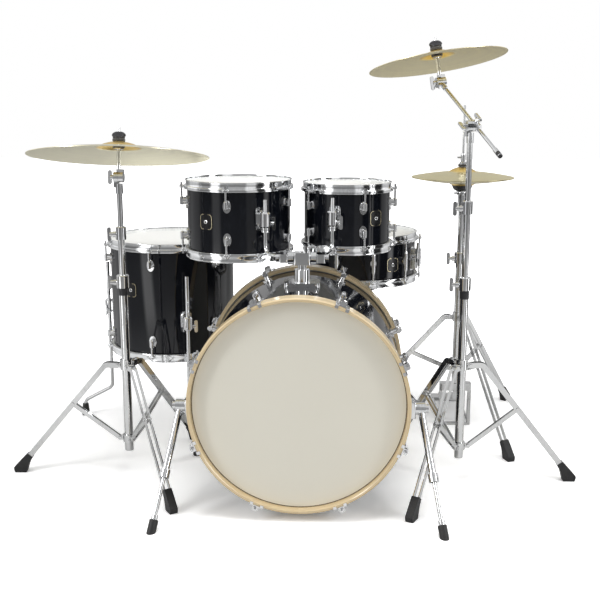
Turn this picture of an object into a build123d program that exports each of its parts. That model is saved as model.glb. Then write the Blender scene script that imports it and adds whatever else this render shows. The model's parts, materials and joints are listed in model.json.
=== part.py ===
from build123d import *
import os
from math import cos, radians, sin

# Acoustic drum kit: bass drum, two rack toms on a holder, floor tom, snare on its stand, ride and
# crash cymbals, hi-hat and bass pedal. Millimetres, +Z up. The origin lies on the floor under the
# middle of the kit; the audience is on the -Y side and the player sits on the +Y side.

os.makedirs("parts", exist_ok=True)

# ---- Fits ----
slip = 0.05                 # radial clearance of a shaft or tube in its bore
gap = 0.3                   # clearance between pieces that only come close to each other

# ---- Plan ----
bass_x = 34.5               # middle of the bass drum
bass_front_y = -508.82      # front face of its front hoop

# ---- Bass drum ----
bass_radius = 279.5
bass_length = 457.0
bass_wall = 8.0
bass_hoop_wall = 10.0
bass_hoop_depth = 45.0
bass_hoop_overhang = 25.0   # how far a hoop stands out past the bearing edge
bass_hoop_seat = 3.0        # room for the head's ring between shell and hoop
bass_axis_z = 315.0
bass_lugs = 8
bass_lug_inset = 78.0       # from the bearing edge to the middle of a lug
claw_width = 38.0
claw_finger = 9.0           # width of each of its two fingers
claw_reach = 8.0            # how far the fingers lap over the hoop's face
claw_sheet = 2.2
claw_boss = (16.0, 18.0, 12.0)

# ---- Shallow drums ----
shell_wall = 6.0
hoop_sheet = 2.3
hoop_clear = 1.5            # shell to hoop, with the head's collar between them
hoop_rise = 13.3            # top of a metal hoop above the bearing edge
hoop_drop = 14.0            # bottom of its lip below the bearing edge
hoop_flange = 10.0          # how far its lip stands out from the shell
head_film = 0.8
rod_radius = 3.0
rod_offset = 16.0           # a tension rod's axis outside the shell
lug_inset = 50.0

tom12_radius = 153.0
tom12_depth = 203.0
tom12_x = bass_x - 199.0
tom12_y = bass_front_y + 485.0
tom12_z = 752.6
tom12_bearing = -60.5       # direction of its bracket, counterclockwise from +X
tom12_rod_top = 821.0

tom10_radius = 128.0
tom10_depth = 178.0
tom10_x = bass_x + 123.0
tom10_y = bass_front_y + 520.0
tom10_z = 755.0
tom10_bearing = -105.3
tom10_rod_top = 823.0
tom_lugs = 5
tom_bracket_z = 764.0
tom_rod_radius = 6.0
bracket_offset = 32.0       # a holder rod's axis outside the shell
bracket_height = 44.0
bracket_barrel = 15.0

floor_tom_radius = 203.0
floor_tom_depth = 355.6
floor_tom_x = bass_x - 458.0
floor_tom_y = bass_front_y + 790.0
floor_tom_z = 460.0
floor_tom_lugs = 6
floor_leg_bearing = -69.4
floor_leg_top = 553.0
floor_leg_bend = 112.0
floor_leg_toe = 54.0
floor_leg_spread = 338.0    # where a leg stands, out from the drum's axis
floor_leg_offset = 30.0
floor_bracket_z = 402.0

snare_radius = 178.0
snare_depth = 140.0
snare_x = bass_x + 177.0
snare_y = bass_front_y + 862.0
snare_z = 580.0
snare_lugs = 10
snare_bearing = -80.0       # direction of one lug
strainer_bearing = -26.0

# ---- Tom holder ----
post_y = bass_front_y + 245.0
post_radius = 12.5
post_foot = 500.0
arm_z = 669.0
holder_block = (46.0, 38.0, 34.0)
hub_radius = 18.0
hub_length = 16.0
socket_size = 24.0
bolt_radius = 4.0
base_size = (100.0, 74.0)
base_collar = 34.0
screw_radius = 3.5          # every wing screw
wing_span = 40.0
wing_width = 11.0

# ---- Spurs ----
spur_x = 325.0
spur_y = bass_front_y + 110.0
spur_z = 285.0
spur_toe_x = 378.0
spur_toe_y = bass_front_y - 77.0
spur_tube = 9.5
spur_rod = 5.5
spur_foot = 12.0
spur_hub_radius = 17.0

# ---- Stands: tubes, legs, tilters, felts ----
lower_tube = 12.7
mid_tube = 9.5
upper_tube = 8.0
tube_wall = 1.4
leg_bar = (16.0, 2.5)       # height and thickness of a leg's flat bar
strut_bar = (12.0, 2.5)
leg_half_gap = 6.5          # from a leg's middle to its bar
leg_rise = 2.0              # a leg runs nearly level to its bend, then straight down
leg_bend = 18.0
leg_end_z = 11.0            # middle of a leg's bar inside its foot
casting_reach = 26.0        # pivots outside the stand's axis
pin_radius = 3.0
boot_length = 56.0
boot_width = 22.0
overlap = 160.0             # how far a tube reaches down inside the one below
tube_bottom = 70.0
mid_bore = 8.4
disc_radius = 15.0
disc_width = 14.0
stalk = 57.0                # from a tilter's pivot to the plane of the cymbal's rim
stalk_radius = 4.0
felt_fit = 0.75             # top of a lower felt below the bell's underside at the hole
cymbal_sheet = 1.4

ride_x = bass_x - 521.0
ride_y = bass_front_y + 330.0
ride_first_leg = 62.0       # direction of one leg, counterclockwise from +X
ride_reach = (60.0, 333.0)  # a leg's bend and its end, out from the stand's axis
ride_top_casting = 333.0    # height of the pivots at the legs' upper ends
ride_low_casting = 109.0    # and of the struts' inner ends
ride_strut_share = 0.443    # where the strut meets the leg
ride_lower_top = 595.0
ride_mid_top = 735.0
ride_tilter_z = 882.0
ride_tilt = 9.9
ride_radius = 254.0
ride_bell = (24.0, 17.0, 64.0)          # bow, bell height, bell radius

crash_x = bass_x + 456.0
crash_y = bass_front_y + 312.0
crash_first_leg = 1.5
crash_reach = (60.0, 329.0)
crash_top_casting = 350.0
crash_low_casting = 107.0
crash_strut_share = 0.458
crash_lower_top = 600.0
crash_mid_top = 815.0
boom_z = 1026.0
boom_above = 269.0          # boom from its clamp up to the tilter
boom_below = 165.0          # and down to its tip
boom_way = Vector(-0.286, 0.851, 0.442)
boom_radius = 5.0
crash_up = Vector(-0.147, 0.131, 0.980)
crash_radius = 203.2
crash_bell = (19.0, 16.0, 52.0)
boom_offset = 16.0          # boom beside the clamp's turning disc

hihat_x = bass_x + 500.0
hihat_y = bass_front_y + 805.0
hihat_first_leg = 51.7
hihat_reach = (42.0, 361.0)
hihat_top_casting = 377.0
hihat_low_casting = 199.0
hihat_strut_share = 0.383
hihat_lower_top = 592.0
hihat_rim_z = 846.0
hihat_radius = 165.0
hihat_bell = (17.0, 15.0, 45.0)
hihat_tube_bottom = 120.0
frame_half = 48.0
frame_top = 150.0
heel_y = 262.0
heel_z = 22.0
toe_z = 82.0
pull_rod = 3.5
pull_rod_top = 1076.0
clutch_top = 922.0

snare_first_leg = 30.0
snare_reach = (45.0, 230.0)
snare_top_casting = 250.0
snare_low_casting = 135.0
snare_strut_share = 0.547
snare_lower_top = 330.0
basket_z = 452.0
basket_first = snare_bearing + 114.0    # its arms rise between the hoop's ears
strainer_axis = snare_radius + 12.0
lever_pin_z = 6.0
wire_count = 20
wire_pitch = 2.2
wire_radius = 0.7

# ---- Bass pedal ----
pedal_gap = 60.0            # its axle behind the rear hoop
pedal_axle_z = 168.0
post_half = 44.0
rod_half = 34.0
pedal_heel = 255.0          # heel pin behind the axle
pedal_toe_z = 78.0
beater_reach = 150.0
beater_radius = 24.0
beater_rest = 20.0          # degrees from upright, toward the player


# ---- Shapes used again and again ----
def turned(*outline):
    """The closed outline of (radius, height) points turned about Z."""
    with BuildPart() as piece:
        with BuildSketch(Plane.XZ):
            with BuildLine():
                Polyline(*outline, close=True)
            make_face()
        revolve(axis=Axis.Z)
    return piece.part


def bar(start, end, radius, bore=0.0):
    """A round bar between two points, or a tube where it has a bore."""
    run = Vector(*end) - Vector(*start)
    with BuildPart() as piece:
        with BuildSketch(Plane(origin=start, z_dir=run)):
            Circle(radius)
            if bore:
                Circle(bore, mode=Mode.SUBTRACT)
        extrude(amount=run.length)
    return piece.part


def block(low, high, edge=0.0):
    """A box between two corners, with its upright edges rounded."""
    size = [b - a for a, b in zip(low, high)]
    with BuildPart() as piece:
        with Locations(Vector(*low) + Vector(*size) / 2):
            Box(*size)
        if edge:
            fillet(piece.edges().filter_by(Axis.Z), edge)
    return piece.part


def placed(part, *places):
    """Copies of a part at the given places, as one part."""
    with BuildPart() as piece:
        with Locations(*places):
            add(part)
    return piece.part


def around(part, count, first):
    """Copies of a part turned about Z, the first of them by an angle."""
    with BuildPart() as piece:
        with PolarLocations(0, count, start_angle=first):
            add(part)
    return piece.part


def both_ends(part, half):
    """A part raised by half a drum's depth, and its mirror image below."""
    with BuildPart() as piece:
        with Locations((0, 0, half)):
            add(part)
        mirror(about=Plane.XY)
    return piece.part


def wing_screw(reach):
    """A screw along +X: its shank starts at the origin and its wings lie past the reach."""
    with BuildPart() as piece:
        add(bar((0, 0, 0), (reach + 10, 0, 0), screw_radius))
        add(bar((reach, 0, 0), (reach + 9, 0, 0), screw_radius + 3))
        with BuildSketch(Plane.XZ.offset(-2.5)):
            with Locations((reach + 11, 0)):
                SlotOverall(wing_span, wing_width, rotation=90)
        extrude(amount=5)
    return piece.part


def tube_clamp(outer, inner, height=30.0):
    """The cast collar on a tube's top end, z 0, with its wing screw toward +X."""
    body = outer + 5.5
    lip = 7.0
    with BuildPart() as piece:
        add(turned((outer + slip, slip - height), (body, slip - height), (body, lip - 2),
                   (body - 2, lip), (inner + slip, lip), (inner + slip, slip), (outer + slip, slip)))
        add(bar((body - 3, 0, -height / 2), (body + 8, 0, -height / 2), 8.5))
        add(bar((0, 0, -height / 2), (body + 9, 0, -height / 2), screw_radius + slip), mode=Mode.SUBTRACT)
        with Locations((outer + gap, 0, -height / 2)):
            add(wing_screw(body + 8 - outer))
    return piece.part


# ---- Drum pieces, each about its own middle with its axis along Z ----
def drum_shell(radius, depth, wall):
    """A ply tube whose ends are cut to a 45 degree bearing edge."""
    half = depth / 2
    edge = wall - 2
    return turned((radius, half), (radius - 2, half), (radius - wall, half - edge),
                  (radius - wall, edge - half), (radius - 2, -half), (radius, -half))


def drum_hoops(radius, depth, lugs, first):
    """A drum's two hoops with their ears just under the shoulder."""
    inner = radius + hoop_clear
    lip = radius + hoop_flange
    shoulder = -4.0
    ear = 5.0
    with BuildPart() as piece:
        add(turned((inner, shoulder - hoop_sheet), (lip - hoop_sheet, shoulder - hoop_sheet),
                   (lip - hoop_sheet, -hoop_drop), (lip, -hoop_drop), (lip, shoulder),
                   (inner + hoop_sheet, shoulder), (inner + hoop_sheet, hoop_rise - hoop_sheet),
                   (inner + 2 * hoop_sheet, hoop_rise - hoop_sheet),
                   (inner + 2 * hoop_sheet, hoop_rise), (inner, hoop_rise)))
        with BuildSketch(Plane.XY.offset(shoulder - hoop_sheet - ear)):
            with PolarLocations(radius + rod_offset - 1, lugs, start_angle=first):
                RectangleRounded(14.5, 20, 5)
        extrude(amount=ear)
        with BuildSketch(Plane.XY.offset(shoulder - hoop_sheet - ear)):
            with PolarLocations(radius + rod_offset, lugs, start_angle=first):
                Circle(rod_radius + gap)
        extrude(amount=ear, mode=Mode.SUBTRACT)
    return both_ends(piece.part, depth / 2)


def drum_heads(radius, depth):
    """Two heads: film across the bearing edge, collar down the shell and the ring under the hoop."""
    collar = radius + gap
    ring = radius + hoop_flange - hoop_sheet - 2 * gap
    under = -4.0 - hoop_sheet - 0.5
    head = turned((0, 0), (radius, 0), (collar, 0), (collar, -12), (ring, -12), (ring, under),
                  (radius + hoop_clear - gap, under), (radius + hoop_clear - gap, head_film),
                  (0, head_film))
    return both_ends(head, depth / 2)


def lug_casting(radius, offset, inset, scale=1.0):
    """A teardrop lug toward +X, its rod's receiver below z 0 by the inset."""
    axis = radius + offset
    half = 12.0 * scale
    barrel = 6.5 * scale
    with BuildPart() as piece:
        with BuildSketch(Plane.YZ.offset(radius - 3)):
            with Locations((0, -inset - 4)):
                Ellipse(12 * scale, 19 * scale)
        extrude(amount=7)
        with BuildSketch(Plane.YZ.offset(radius)):
            with Locations((0, -inset)):
                Ellipse(7 * scale, 11 * scale)
        extrude(amount=offset - 2)
        with Locations((axis, 0, -inset)):
            add(turned((0, -half), (barrel - 2, -half), (barrel, 2 - half), (barrel, half - 2),
                       (barrel - 2, half), (0, half)))
        with Locations((axis, 0, -inset + half)):
            Cylinder(rod_radius + slip, 3.2 * half, mode=Mode.SUBTRACT)
        Cylinder(radius + slip, 4 * inset + 60, mode=Mode.SUBTRACT)
    return piece.part


def tension_rod(axis, bottom, seat):
    """A rod along Z out to the axis: shank, washer and square key head above the seat."""
    washer = seat + gap
    with BuildPart() as piece:
        with BuildSketch(Plane.XY.offset(bottom)):
            with Locations((axis, 0)):
                Circle(rod_radius)
        extrude(amount=washer - bottom)
        with BuildSketch(Plane.XY.offset(washer)):
            with Locations((axis, 0)):
                Circle(5.8)
        extrude(amount=3.5)
        with BuildSketch(Plane.XY.offset(washer + 3.5)):
            with Locations((axis, 0)):
                Rectangle(5.6, 5.6)
        extrude(amount=7)
    return piece.part


def write(part, name):
    """Names a finished sub-part and writes its STEP file."""
    part.label = name
    export_step(part, f"parts/{name}.step")


# ---- Rack toms and floor tom: shell, hoops, heads, and lugs with rods and brackets ----
def rod_bracket(radius, offset, bore, height):
    """A bracket toward +X: plate on the shell, block with an upright bore, and its wing screw."""
    axis = radius + offset
    half = bracket_barrel
    end = height / 2
    with BuildPart() as piece:
        with BuildSketch(Plane.YZ.offset(radius - 3)):
            RectangleRounded(34, height + 22, 8)
        extrude(amount=9)
        with BuildSketch(Plane.YZ.offset(radius)):
            RectangleRounded(1.4 * half, height - 10, 4)
        extrude(amount=offset)
        with Locations((axis, 0, 0)):
            add(turned((0, -end), (half - 3, -end), (half, 4 - end), (half, end - 4),
                       (half - 3, end), (0, end)))
        Cylinder(radius + slip, 2 * height + 60, mode=Mode.SUBTRACT)
        with Locations((axis, 0, 0)):
            Cylinder(bore + slip, height + 10, mode=Mode.SUBTRACT)
        add(bar((axis, 0, -height / 4), (axis, half + 1, -height / 4), screw_radius + slip),
            mode=Mode.SUBTRACT)
        with Locations(Location((axis, bore + gap, -height / 4), (0, 0, 90))):
            add(wing_screw(half - bore))
    return piece.part


def single_lugs(radius, depth, count, first, scale=1.0):
    """Lugs and tension rods at both ends of a drum, every piece a solid of its own."""
    seat = -4.0 - hoop_sheet
    end = around(lug_casting(radius, rod_offset, lug_inset, scale), count, first)
    rods = around(tension_rod(radius + rod_offset, 4 - lug_inset, seat), count, first)
    with BuildPart() as piece:
        add(both_ends(end, depth / 2))
        add(both_ends(rods, depth / 2))
    return piece.part


def drum_nodes(name, place, radius, depth, lugs, first, brackets):
    """Writes the four sub-parts of a drum that hangs from its brackets."""
    write(placed(drum_shell(radius, depth, shell_wall), place), name + "_shell")
    write(placed(drum_hoops(radius, depth, lugs, first), place), name + "_hoops")
    write(placed(drum_heads(radius, depth), place), name + "_heads")
    with BuildPart() as hardware:
        with Locations(place):
            add(single_lugs(radius, depth, lugs, first))
            add(brackets)
    write(hardware.part, name + "_lugs")


tom12_bracket = placed(around(rod_bracket(tom12_radius, bracket_offset, tom_rod_radius,
                                          bracket_height), 1, tom12_bearing),
                       (0, 0, tom_bracket_z - tom12_z))
tom10_bracket = placed(around(rod_bracket(tom10_radius, bracket_offset, tom_rod_radius,
                                          bracket_height), 1, tom10_bearing),
                       (0, 0, tom_bracket_z - tom10_z))
floor_brackets = placed(around(rod_bracket(floor_tom_radius, floor_leg_offset, tom_rod_radius,
                                           bracket_height), 3, floor_leg_bearing),
                        (0, 0, floor_bracket_z - floor_tom_z))
drum_nodes("tom12", (tom12_x, tom12_y, tom12_z), tom12_radius, tom12_depth, tom_lugs,
           tom12_bearing - 180 / tom_lugs, tom12_bracket)
drum_nodes("tom10", (tom10_x, tom10_y, tom10_z), tom10_radius, tom10_depth, tom_lugs,
           tom10_bearing - 180 / tom_lugs, tom10_bracket)
drum_nodes("floor_tom", (floor_tom_x, floor_tom_y, floor_tom_z), floor_tom_radius,
           floor_tom_depth, floor_tom_lugs, floor_leg_bearing - 180 / floor_tom_lugs,
           floor_brackets)

# ---- Floor tom legs: bent rods that stand on the floor ----
leg_axis = floor_tom_radius + floor_leg_offset
with BuildPart() as floor_leg:
    with BuildLine(Plane.XZ):
        FilletPolyline((leg_axis, floor_leg_top), (leg_axis, floor_leg_bend),
                       (floor_leg_spread, floor_leg_toe), (floor_leg_spread, tom_rod_radius + gap),
                       radius=24)
    with BuildSketch(Plane.XY.offset(floor_leg_top)):
        with Locations((leg_axis, 0)):
            Circle(tom_rod_radius)
    sweep()
write(placed(around(floor_leg.part, 3, floor_leg_bearing), (floor_tom_x, floor_tom_y, 0)),
      "floor_tom_legs")
floor_boots = placed(around(placed(turned((0, 0), (12, 0), (14, 3), (10, 42),
                                          (tom_rod_radius + slip, 42),
                                          (tom_rod_radius + slip, tom_rod_radius - slip),
                                          (0, tom_rod_radius - slip)),
                                   (floor_leg_spread, 0, 0)), 3, floor_leg_bearing),
                     (floor_tom_x, floor_tom_y, 0))

# ---- Snare drum: shell, hoops, heads, tube lugs, strainer, wires ----
def tube_lugs(radius, depth, count, first):
    """Long double-ended lugs on one foot each, with a tension rod in both ends."""
    axis = radius + rod_offset
    seat = -4.0 - hoop_sheet
    with BuildPart() as casting:
        with BuildSketch(Plane.YZ.offset(radius - 2)):
            Ellipse(9, 14)
        extrude(amount=rod_offset)
        with Locations((axis, 0, 0)):
            add(turned((0, -34), (4.2, -34), (6.5, -26), (6.5, 26), (4.2, 34), (0, 34)))
        Cylinder(radius + slip, depth, mode=Mode.SUBTRACT)
        with Locations((axis, 0, 34), (axis, 0, -34)):
            Cylinder(rod_radius + slip, 40, mode=Mode.SUBTRACT)
    rods = around(tension_rod(axis, 18 - depth / 2, seat), count, first)
    with BuildPart() as piece:
        add(around(casting.part, count, first))
        add(both_ends(rods, depth / 2))
    return piece.part


snare_place = (snare_x, snare_y, snare_z)
write(placed(drum_shell(snare_radius, snare_depth, shell_wall), snare_place), "snare_shell")
write(placed(drum_hoops(snare_radius, snare_depth, snare_lugs, snare_bearing), snare_place),
      "snare_hoops")
write(placed(drum_heads(snare_radius, snare_depth), snare_place), "snare_heads")

# The strainer hangs on the shell toward +X, with the butt plate across the drum from it.
with BuildPart() as strainer:
    with BuildSketch(Plane.YZ.offset(snare_radius - 3)):
        RectangleRounded(26, 78, 6)
    extrude(amount=7)
    with Locations((strainer_axis, 9, 0), (strainer_axis, -9, 0)):
        Box(18, 4, 66)
    with Locations((strainer_axis, 0, -22)):
        Box(14, 14, 20)
    Cylinder(snare_radius + slip, snare_depth, mode=Mode.SUBTRACT)
    with Locations(Location((strainer_axis, 0, lever_pin_z), (90, 0, 0))):
        Cylinder(2.5 + slip, 30, mode=Mode.SUBTRACT)
    with Locations(Location((strainer_axis, 0, lever_pin_z), (90, 0, 0))):
        Cylinder(2.5, 25)
with BuildPart() as butt:
    with BuildSketch(Plane.YZ.offset(snare_radius - 3)):
        with Locations((0, -24)):
            RectangleRounded(30, 40, 5)
    extrude(amount=13)
    Cylinder(snare_radius + slip, snare_depth, mode=Mode.SUBTRACT)
with BuildPart() as snare_hardware:
    with Locations(snare_place):
        add(tube_lugs(snare_radius, snare_depth, snare_lugs, snare_bearing))
        add(around(strainer.part, 1, strainer_bearing))
        add(around(butt.part, 1, strainer_bearing + 180))
write(snare_hardware.part, "snare_lugs")

with BuildPart() as lever:
    with BuildSketch(Plane.XZ.offset(-4)):
        with Locations((strainer_axis + 4, lever_pin_z)):
            Circle(7)
        with Locations((strainer_axis + 10, lever_pin_z + 22)):
            Rectangle(7, 52, rotation=-6)
    extrude(amount=8)
    with Locations(Location((strainer_axis, 0, lever_pin_z), (90, 0, 0))):
        Cylinder(2.5 + slip, 30, mode=Mode.SUBTRACT)
write(placed(around(lever.part, 1, strainer_bearing), snare_place), "strainer_lever")

# Twenty steel wires lie under the lower head, soldered to a plate at both ends.
wire_length = 2 * (snare_radius - 22.0)
wire_z = -snare_depth / 2 - head_film - gap - wire_radius
with BuildPart() as wires:
    for row in range(wire_count):
        side = (row - (wire_count - 1) / 2) * wire_pitch
        add(bar((-wire_length / 2, side, wire_z), (wire_length / 2, side, wire_z), wire_radius))
    with Locations((wire_length / 2, 0, wire_z), (-wire_length / 2, 0, wire_z)):
        Box(12, wire_count * wire_pitch + 4, 2 * wire_radius)
write(placed(around(wires.part, 1, strainer_bearing), snare_place), "snare_wires")

# ---- Bass drum: its local Z runs from the player to the audience, its local Y up ----
bass_mid_y = bass_front_y + bass_hoop_overhang + bass_length / 2
bass_place = Plane(origin=(bass_x, bass_mid_y, bass_axis_z), x_dir=(1, 0, 0),
                   z_dir=(0, -1, 0)).location
bass_half = bass_length / 2
bass_top = bass_axis_z + bass_radius
hoop_inner = bass_radius + bass_hoop_seat
hoop_outer = hoop_inner + bass_hoop_wall
bass_rod_axis = hoop_outer + 10.0
bass_rod_offset = bass_rod_axis - bass_radius
claw_seat = bass_hoop_overhang - 5.0

with BuildPart() as bass_shell:
    with Locations(bass_place):
        add(drum_shell(bass_radius, bass_length, bass_wall))
    with Locations((bass_x, post_y, bass_top)):
        Cylinder(post_radius + gap, 60, mode=Mode.SUBTRACT)
write(bass_shell.part, "bass_shell")

hoop_back = bass_hoop_overhang - bass_hoop_depth
wood_hoop = turned((hoop_inner, hoop_back), (hoop_outer, hoop_back),
                   (hoop_outer, bass_hoop_overhang - 3), (hoop_outer - 3, bass_hoop_overhang),
                   (hoop_inner + 2, bass_hoop_overhang), (hoop_inner, bass_hoop_overhang - 2))
write(placed(both_ends(wood_hoop, bass_half), bass_place), "bass_hoops")

bass_head = turned((0, 0), (bass_radius, 0), (bass_radius + gap, 0), (bass_radius + gap, -14),
                   (hoop_inner - gap, -14), (hoop_inner - gap, head_film), (0, head_film))
write(placed(placed(bass_head, (0, 0, bass_half)), bass_place), "bass_front_head")
write(placed(placed(bass_head, Location((0, 0, -bass_half), (180, 0, 0))), bass_place),
      "bass_batter_head")

bass_lug = lug_casting(bass_radius, bass_rod_offset, bass_lug_inset, 1.25)
lug_first = 180 / bass_lugs
write(placed(both_ends(around(bass_lug, bass_lugs, lug_first), bass_half), bass_place),
      "bass_lugs")

# A claw is a bent plate on the hoop's outside: two fingers hook over the hoop's face, and the
# rod's square head stands on the boss.
finger_z = bass_hoop_overhang + gap + claw_sheet
claw_in = hoop_outer + 0.5
claw_out = claw_in + claw_sheet
boss_length, boss_width, boss_depth = claw_boss
with BuildPart() as claw:
    with BuildSketch(Plane.XZ.offset(-claw_width / 2)):
        with BuildLine():
            Polyline((hoop_outer - claw_reach, bass_hoop_overhang + gap),
                     (hoop_outer - claw_reach, finger_z), (claw_out - 2, finger_z),
                     (claw_out, finger_z - 2), (claw_out, claw_seat - 32),
                     (claw_in, claw_seat - 32), (claw_in, bass_hoop_overhang + gap), close=True)
        make_face()
    extrude(amount=claw_width)
    with Locations((hoop_outer, 0, finger_z)):
        Box(2 * claw_reach + 4, claw_width - 2 * claw_finger, 12, mode=Mode.SUBTRACT)
    with BuildSketch(Plane.XY.offset(claw_seat - boss_depth)):
        with Locations((claw_in + boss_length / 2, 0)):
            RectangleRounded(boss_length, boss_width, 5)
    extrude(amount=boss_depth)
    with Locations((bass_rod_axis, 0, 0)):
        Cylinder(rod_radius + gap, 80, mode=Mode.SUBTRACT)
bass_rod = tension_rod(bass_rod_axis, 6 - bass_lug_inset, claw_seat)
with BuildPart() as claws:
    add(both_ends(around(claw.part, bass_lugs, lug_first), bass_half))
    add(both_ends(around(bass_rod, bass_lugs, lug_first), bass_half))
write(placed(claws.part, bass_place), "bass_claws")

# ---- Tom holder: base on the shell, post with its block, and two bent arms ----
base_top = bass_top + 10.0
with BuildPart() as holder_base:
    with BuildSketch(Plane.XY.offset(bass_top - 12)):
        with Locations((bass_x, post_y)):
            RectangleRounded(*base_size, 14)
    extrude(amount=base_top - bass_top + 12)
    with Locations((bass_x, post_y, base_top - 1)):
        Cylinder(post_radius + 9, base_collar + 1,
                 align=(Align.CENTER, Align.CENTER, Align.MIN))
    with Locations(bass_place):
        Cylinder(bass_radius + slip, bass_length, mode=Mode.SUBTRACT)
    with Locations((bass_x, post_y, bass_top)):
        Cylinder(post_radius + slip, 160, mode=Mode.SUBTRACT)
    collar_z = base_top + base_collar / 2
    collar_out = post_radius + 9
    add(bar((bass_x, post_y, collar_z), (bass_x, post_y + collar_out + 1, collar_z),
            screw_radius + slip), mode=Mode.SUBTRACT)
    with Locations(Location((bass_x, post_y + post_radius + gap, collar_z), (0, 0, 90))):
        add(wing_screw(collar_out - post_radius))
write(holder_base.part, "tom_holder_base")

block_x, block_y, block_z = holder_block
hub_in = block_x / 2 + gap
socket_in = hub_in + hub_length
socket_out = socket_in + socket_size
with BuildPart() as tom_post:
    with Locations((bass_x, post_y, 0)):
        add(bar((0, 0, post_foot), (0, 0, arm_z + block_z / 2), post_radius,
                post_radius - tube_wall))
    with BuildSketch(Plane.XY.offset(arm_z - block_z / 2)):
        with Locations((bass_x, post_y)):
            RectangleRounded(block_x, block_y, 6)
            Circle(post_radius + slip, mode=Mode.SUBTRACT)
    extrude(amount=block_z)
    for side in (-1, 1):
        add(bar((bass_x + side * (block_x / 2 - 1), post_y, arm_z),
                (bass_x + side * (socket_out + 10), post_y, arm_z), bolt_radius))
        add(bar((bass_x + side * (socket_out + gap), post_y, arm_z),
                (bass_x + side * (socket_out + 10), post_y, arm_z), 11))
write(tom_post.part, "tom_post")


def tom_arm(side, rod_x, rod_y, rod_top):
    """Ratchet hub, socket and bent rod that carry one tom."""
    start = (bass_x + side * (socket_in + socket_size / 2), post_y + 13, arm_z)
    corner = (rod_x, rod_y, arm_z)
    inner = bass_x + side * hub_in
    outer = bass_x + side * socket_in
    far = bass_x + side * socket_out
    low = (min(outer, far), post_y - 12, arm_z - 12)
    high = (max(outer, far), post_y + 34, arm_z + 12)
    way = Vector(*corner) - Vector(*start)
    with BuildPart() as arm:
        add(bar((inner, post_y, arm_z), (outer, post_y, arm_z), hub_radius))
        add(block(low, high, 4))
        add(bar((inner - side, post_y, arm_z), (far + side, post_y, arm_z), bolt_radius + slip),
            mode=Mode.SUBTRACT)
        add(bar(Vector(*start) - way.normalized() * gap, corner, tom_rod_radius + slip),
            mode=Mode.SUBTRACT)
    with BuildPart() as rod:
        with BuildLine():
            FilletPolyline(start, corner, (rod_x, rod_y, rod_top), radius=24)
        with BuildSketch(Plane(origin=start, z_dir=way)):
            Circle(tom_rod_radius)
        sweep()
    with BuildPart() as piece:
        add(arm.part)
        add(rod.part)
        with Locations((rod_x, rod_y, tom_bracket_z - bracket_height / 2 - gap)):
            add(turned((tom_rod_radius + slip, -12), (tom_rod_radius + 6, -12),
                       (tom_rod_radius + 6, 0), (tom_rod_radius + slip, 0)))
    return piece.part


def bracket_axis(x, y, radius, bearing):
    """Plan position of the rod that a drum's bracket grips."""
    reach = radius + bracket_offset
    return x + reach * cos(radians(bearing)), y + reach * sin(radians(bearing))


tom12_rod = bracket_axis(tom12_x, tom12_y, tom12_radius, tom12_bearing)
tom10_rod = bracket_axis(tom10_x, tom10_y, tom10_radius, tom10_bearing)
write(tom_arm(-1, *tom12_rod, tom12_rod_top), "tom12_arm")
write(tom_arm(1, *tom10_rod, tom10_rod_top), "tom10_arm")

# ---- Spurs: two folding legs that keep the bass drum from rolling ----
bracket_out = bass_radius + 31.0
spur_hub = (bracket_out + gap, bracket_out + gap + 26)
with BuildPart() as spur_brackets:
    for side in (-1, 1):
        inner = bass_x + side * (bass_radius - 12)
        outer = bass_x + side * bracket_out
        add(block((min(inner, outer), spur_y - 24, spur_z - 22),
                  (max(inner, outer), spur_y + 24, spur_z + 22), 6))
        add(bar((bass_x + side * (bracket_out - 2), spur_y, spur_z),
                (bass_x + side * (spur_hub[1] + 9), spur_y, spur_z), 5))
        add(bar((bass_x + side * (spur_hub[1] + gap), spur_y, spur_z),
                (bass_x + side * (spur_hub[1] + 9), spur_y, spur_z), 12))
    with Locations(bass_place):
        Cylinder(bass_radius + slip, bass_length, mode=Mode.SUBTRACT)
write(spur_brackets.part, "spur_brackets")


def spur(side):
    """One spur's leg and rubber foot."""
    pivot = Vector(bass_x + side * spur_x, spur_y, spur_z)
    toe = Vector(bass_x + side * spur_toe_x, spur_toe_y, 0)
    length = (toe - pivot).length
    way = (toe - pivot) / length

    def along(distance):
        return tuple(pivot + way * distance)

    with BuildPart() as leg:
        add(bar((bass_x + side * spur_hub[0], spur_y, spur_z),
                (bass_x + side * spur_hub[1], spur_y, spur_z), spur_hub_radius))
        add(bar(along(2), along(195), spur_tube))
        add(bar(along(60), along(196), spur_rod + slip), mode=Mode.SUBTRACT)
        add(bar((bass_x + side * (spur_hub[0] - 1), spur_y, spur_z),
                (bass_x + side * (spur_hub[1] + 1), spur_y, spur_z), 5 + slip),
            mode=Mode.SUBTRACT)
        add(bar(along(178), along(200), spur_tube + 4, spur_tube + slip))
        add(bar(along(100), along(length - 20), spur_rod))
        add(bar(along(length - 46), along(length - 34), 9, spur_rod + slip))
    with BuildPart() as foot:
        add(bar(along(length - 33), along(length + 10), spur_foot))
        add(bar(along(length - 34), along(length - 20 + slip), spur_rod + slip),
            mode=Mode.SUBTRACT)
        with Locations((toe.X, toe.Y, 0)):
            Box(120, 120, 60, align=(Align.CENTER, Align.CENTER, Align.MAX), mode=Mode.SUBTRACT)
    return leg.part, foot.part


for side, name in ((-1, "left"), (1, "right")):
    leg_part, foot_part = spur(side)
    write(leg_part, f"spur_{name}_leg")
    write(foot_part, f"spur_{name}_foot")

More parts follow.
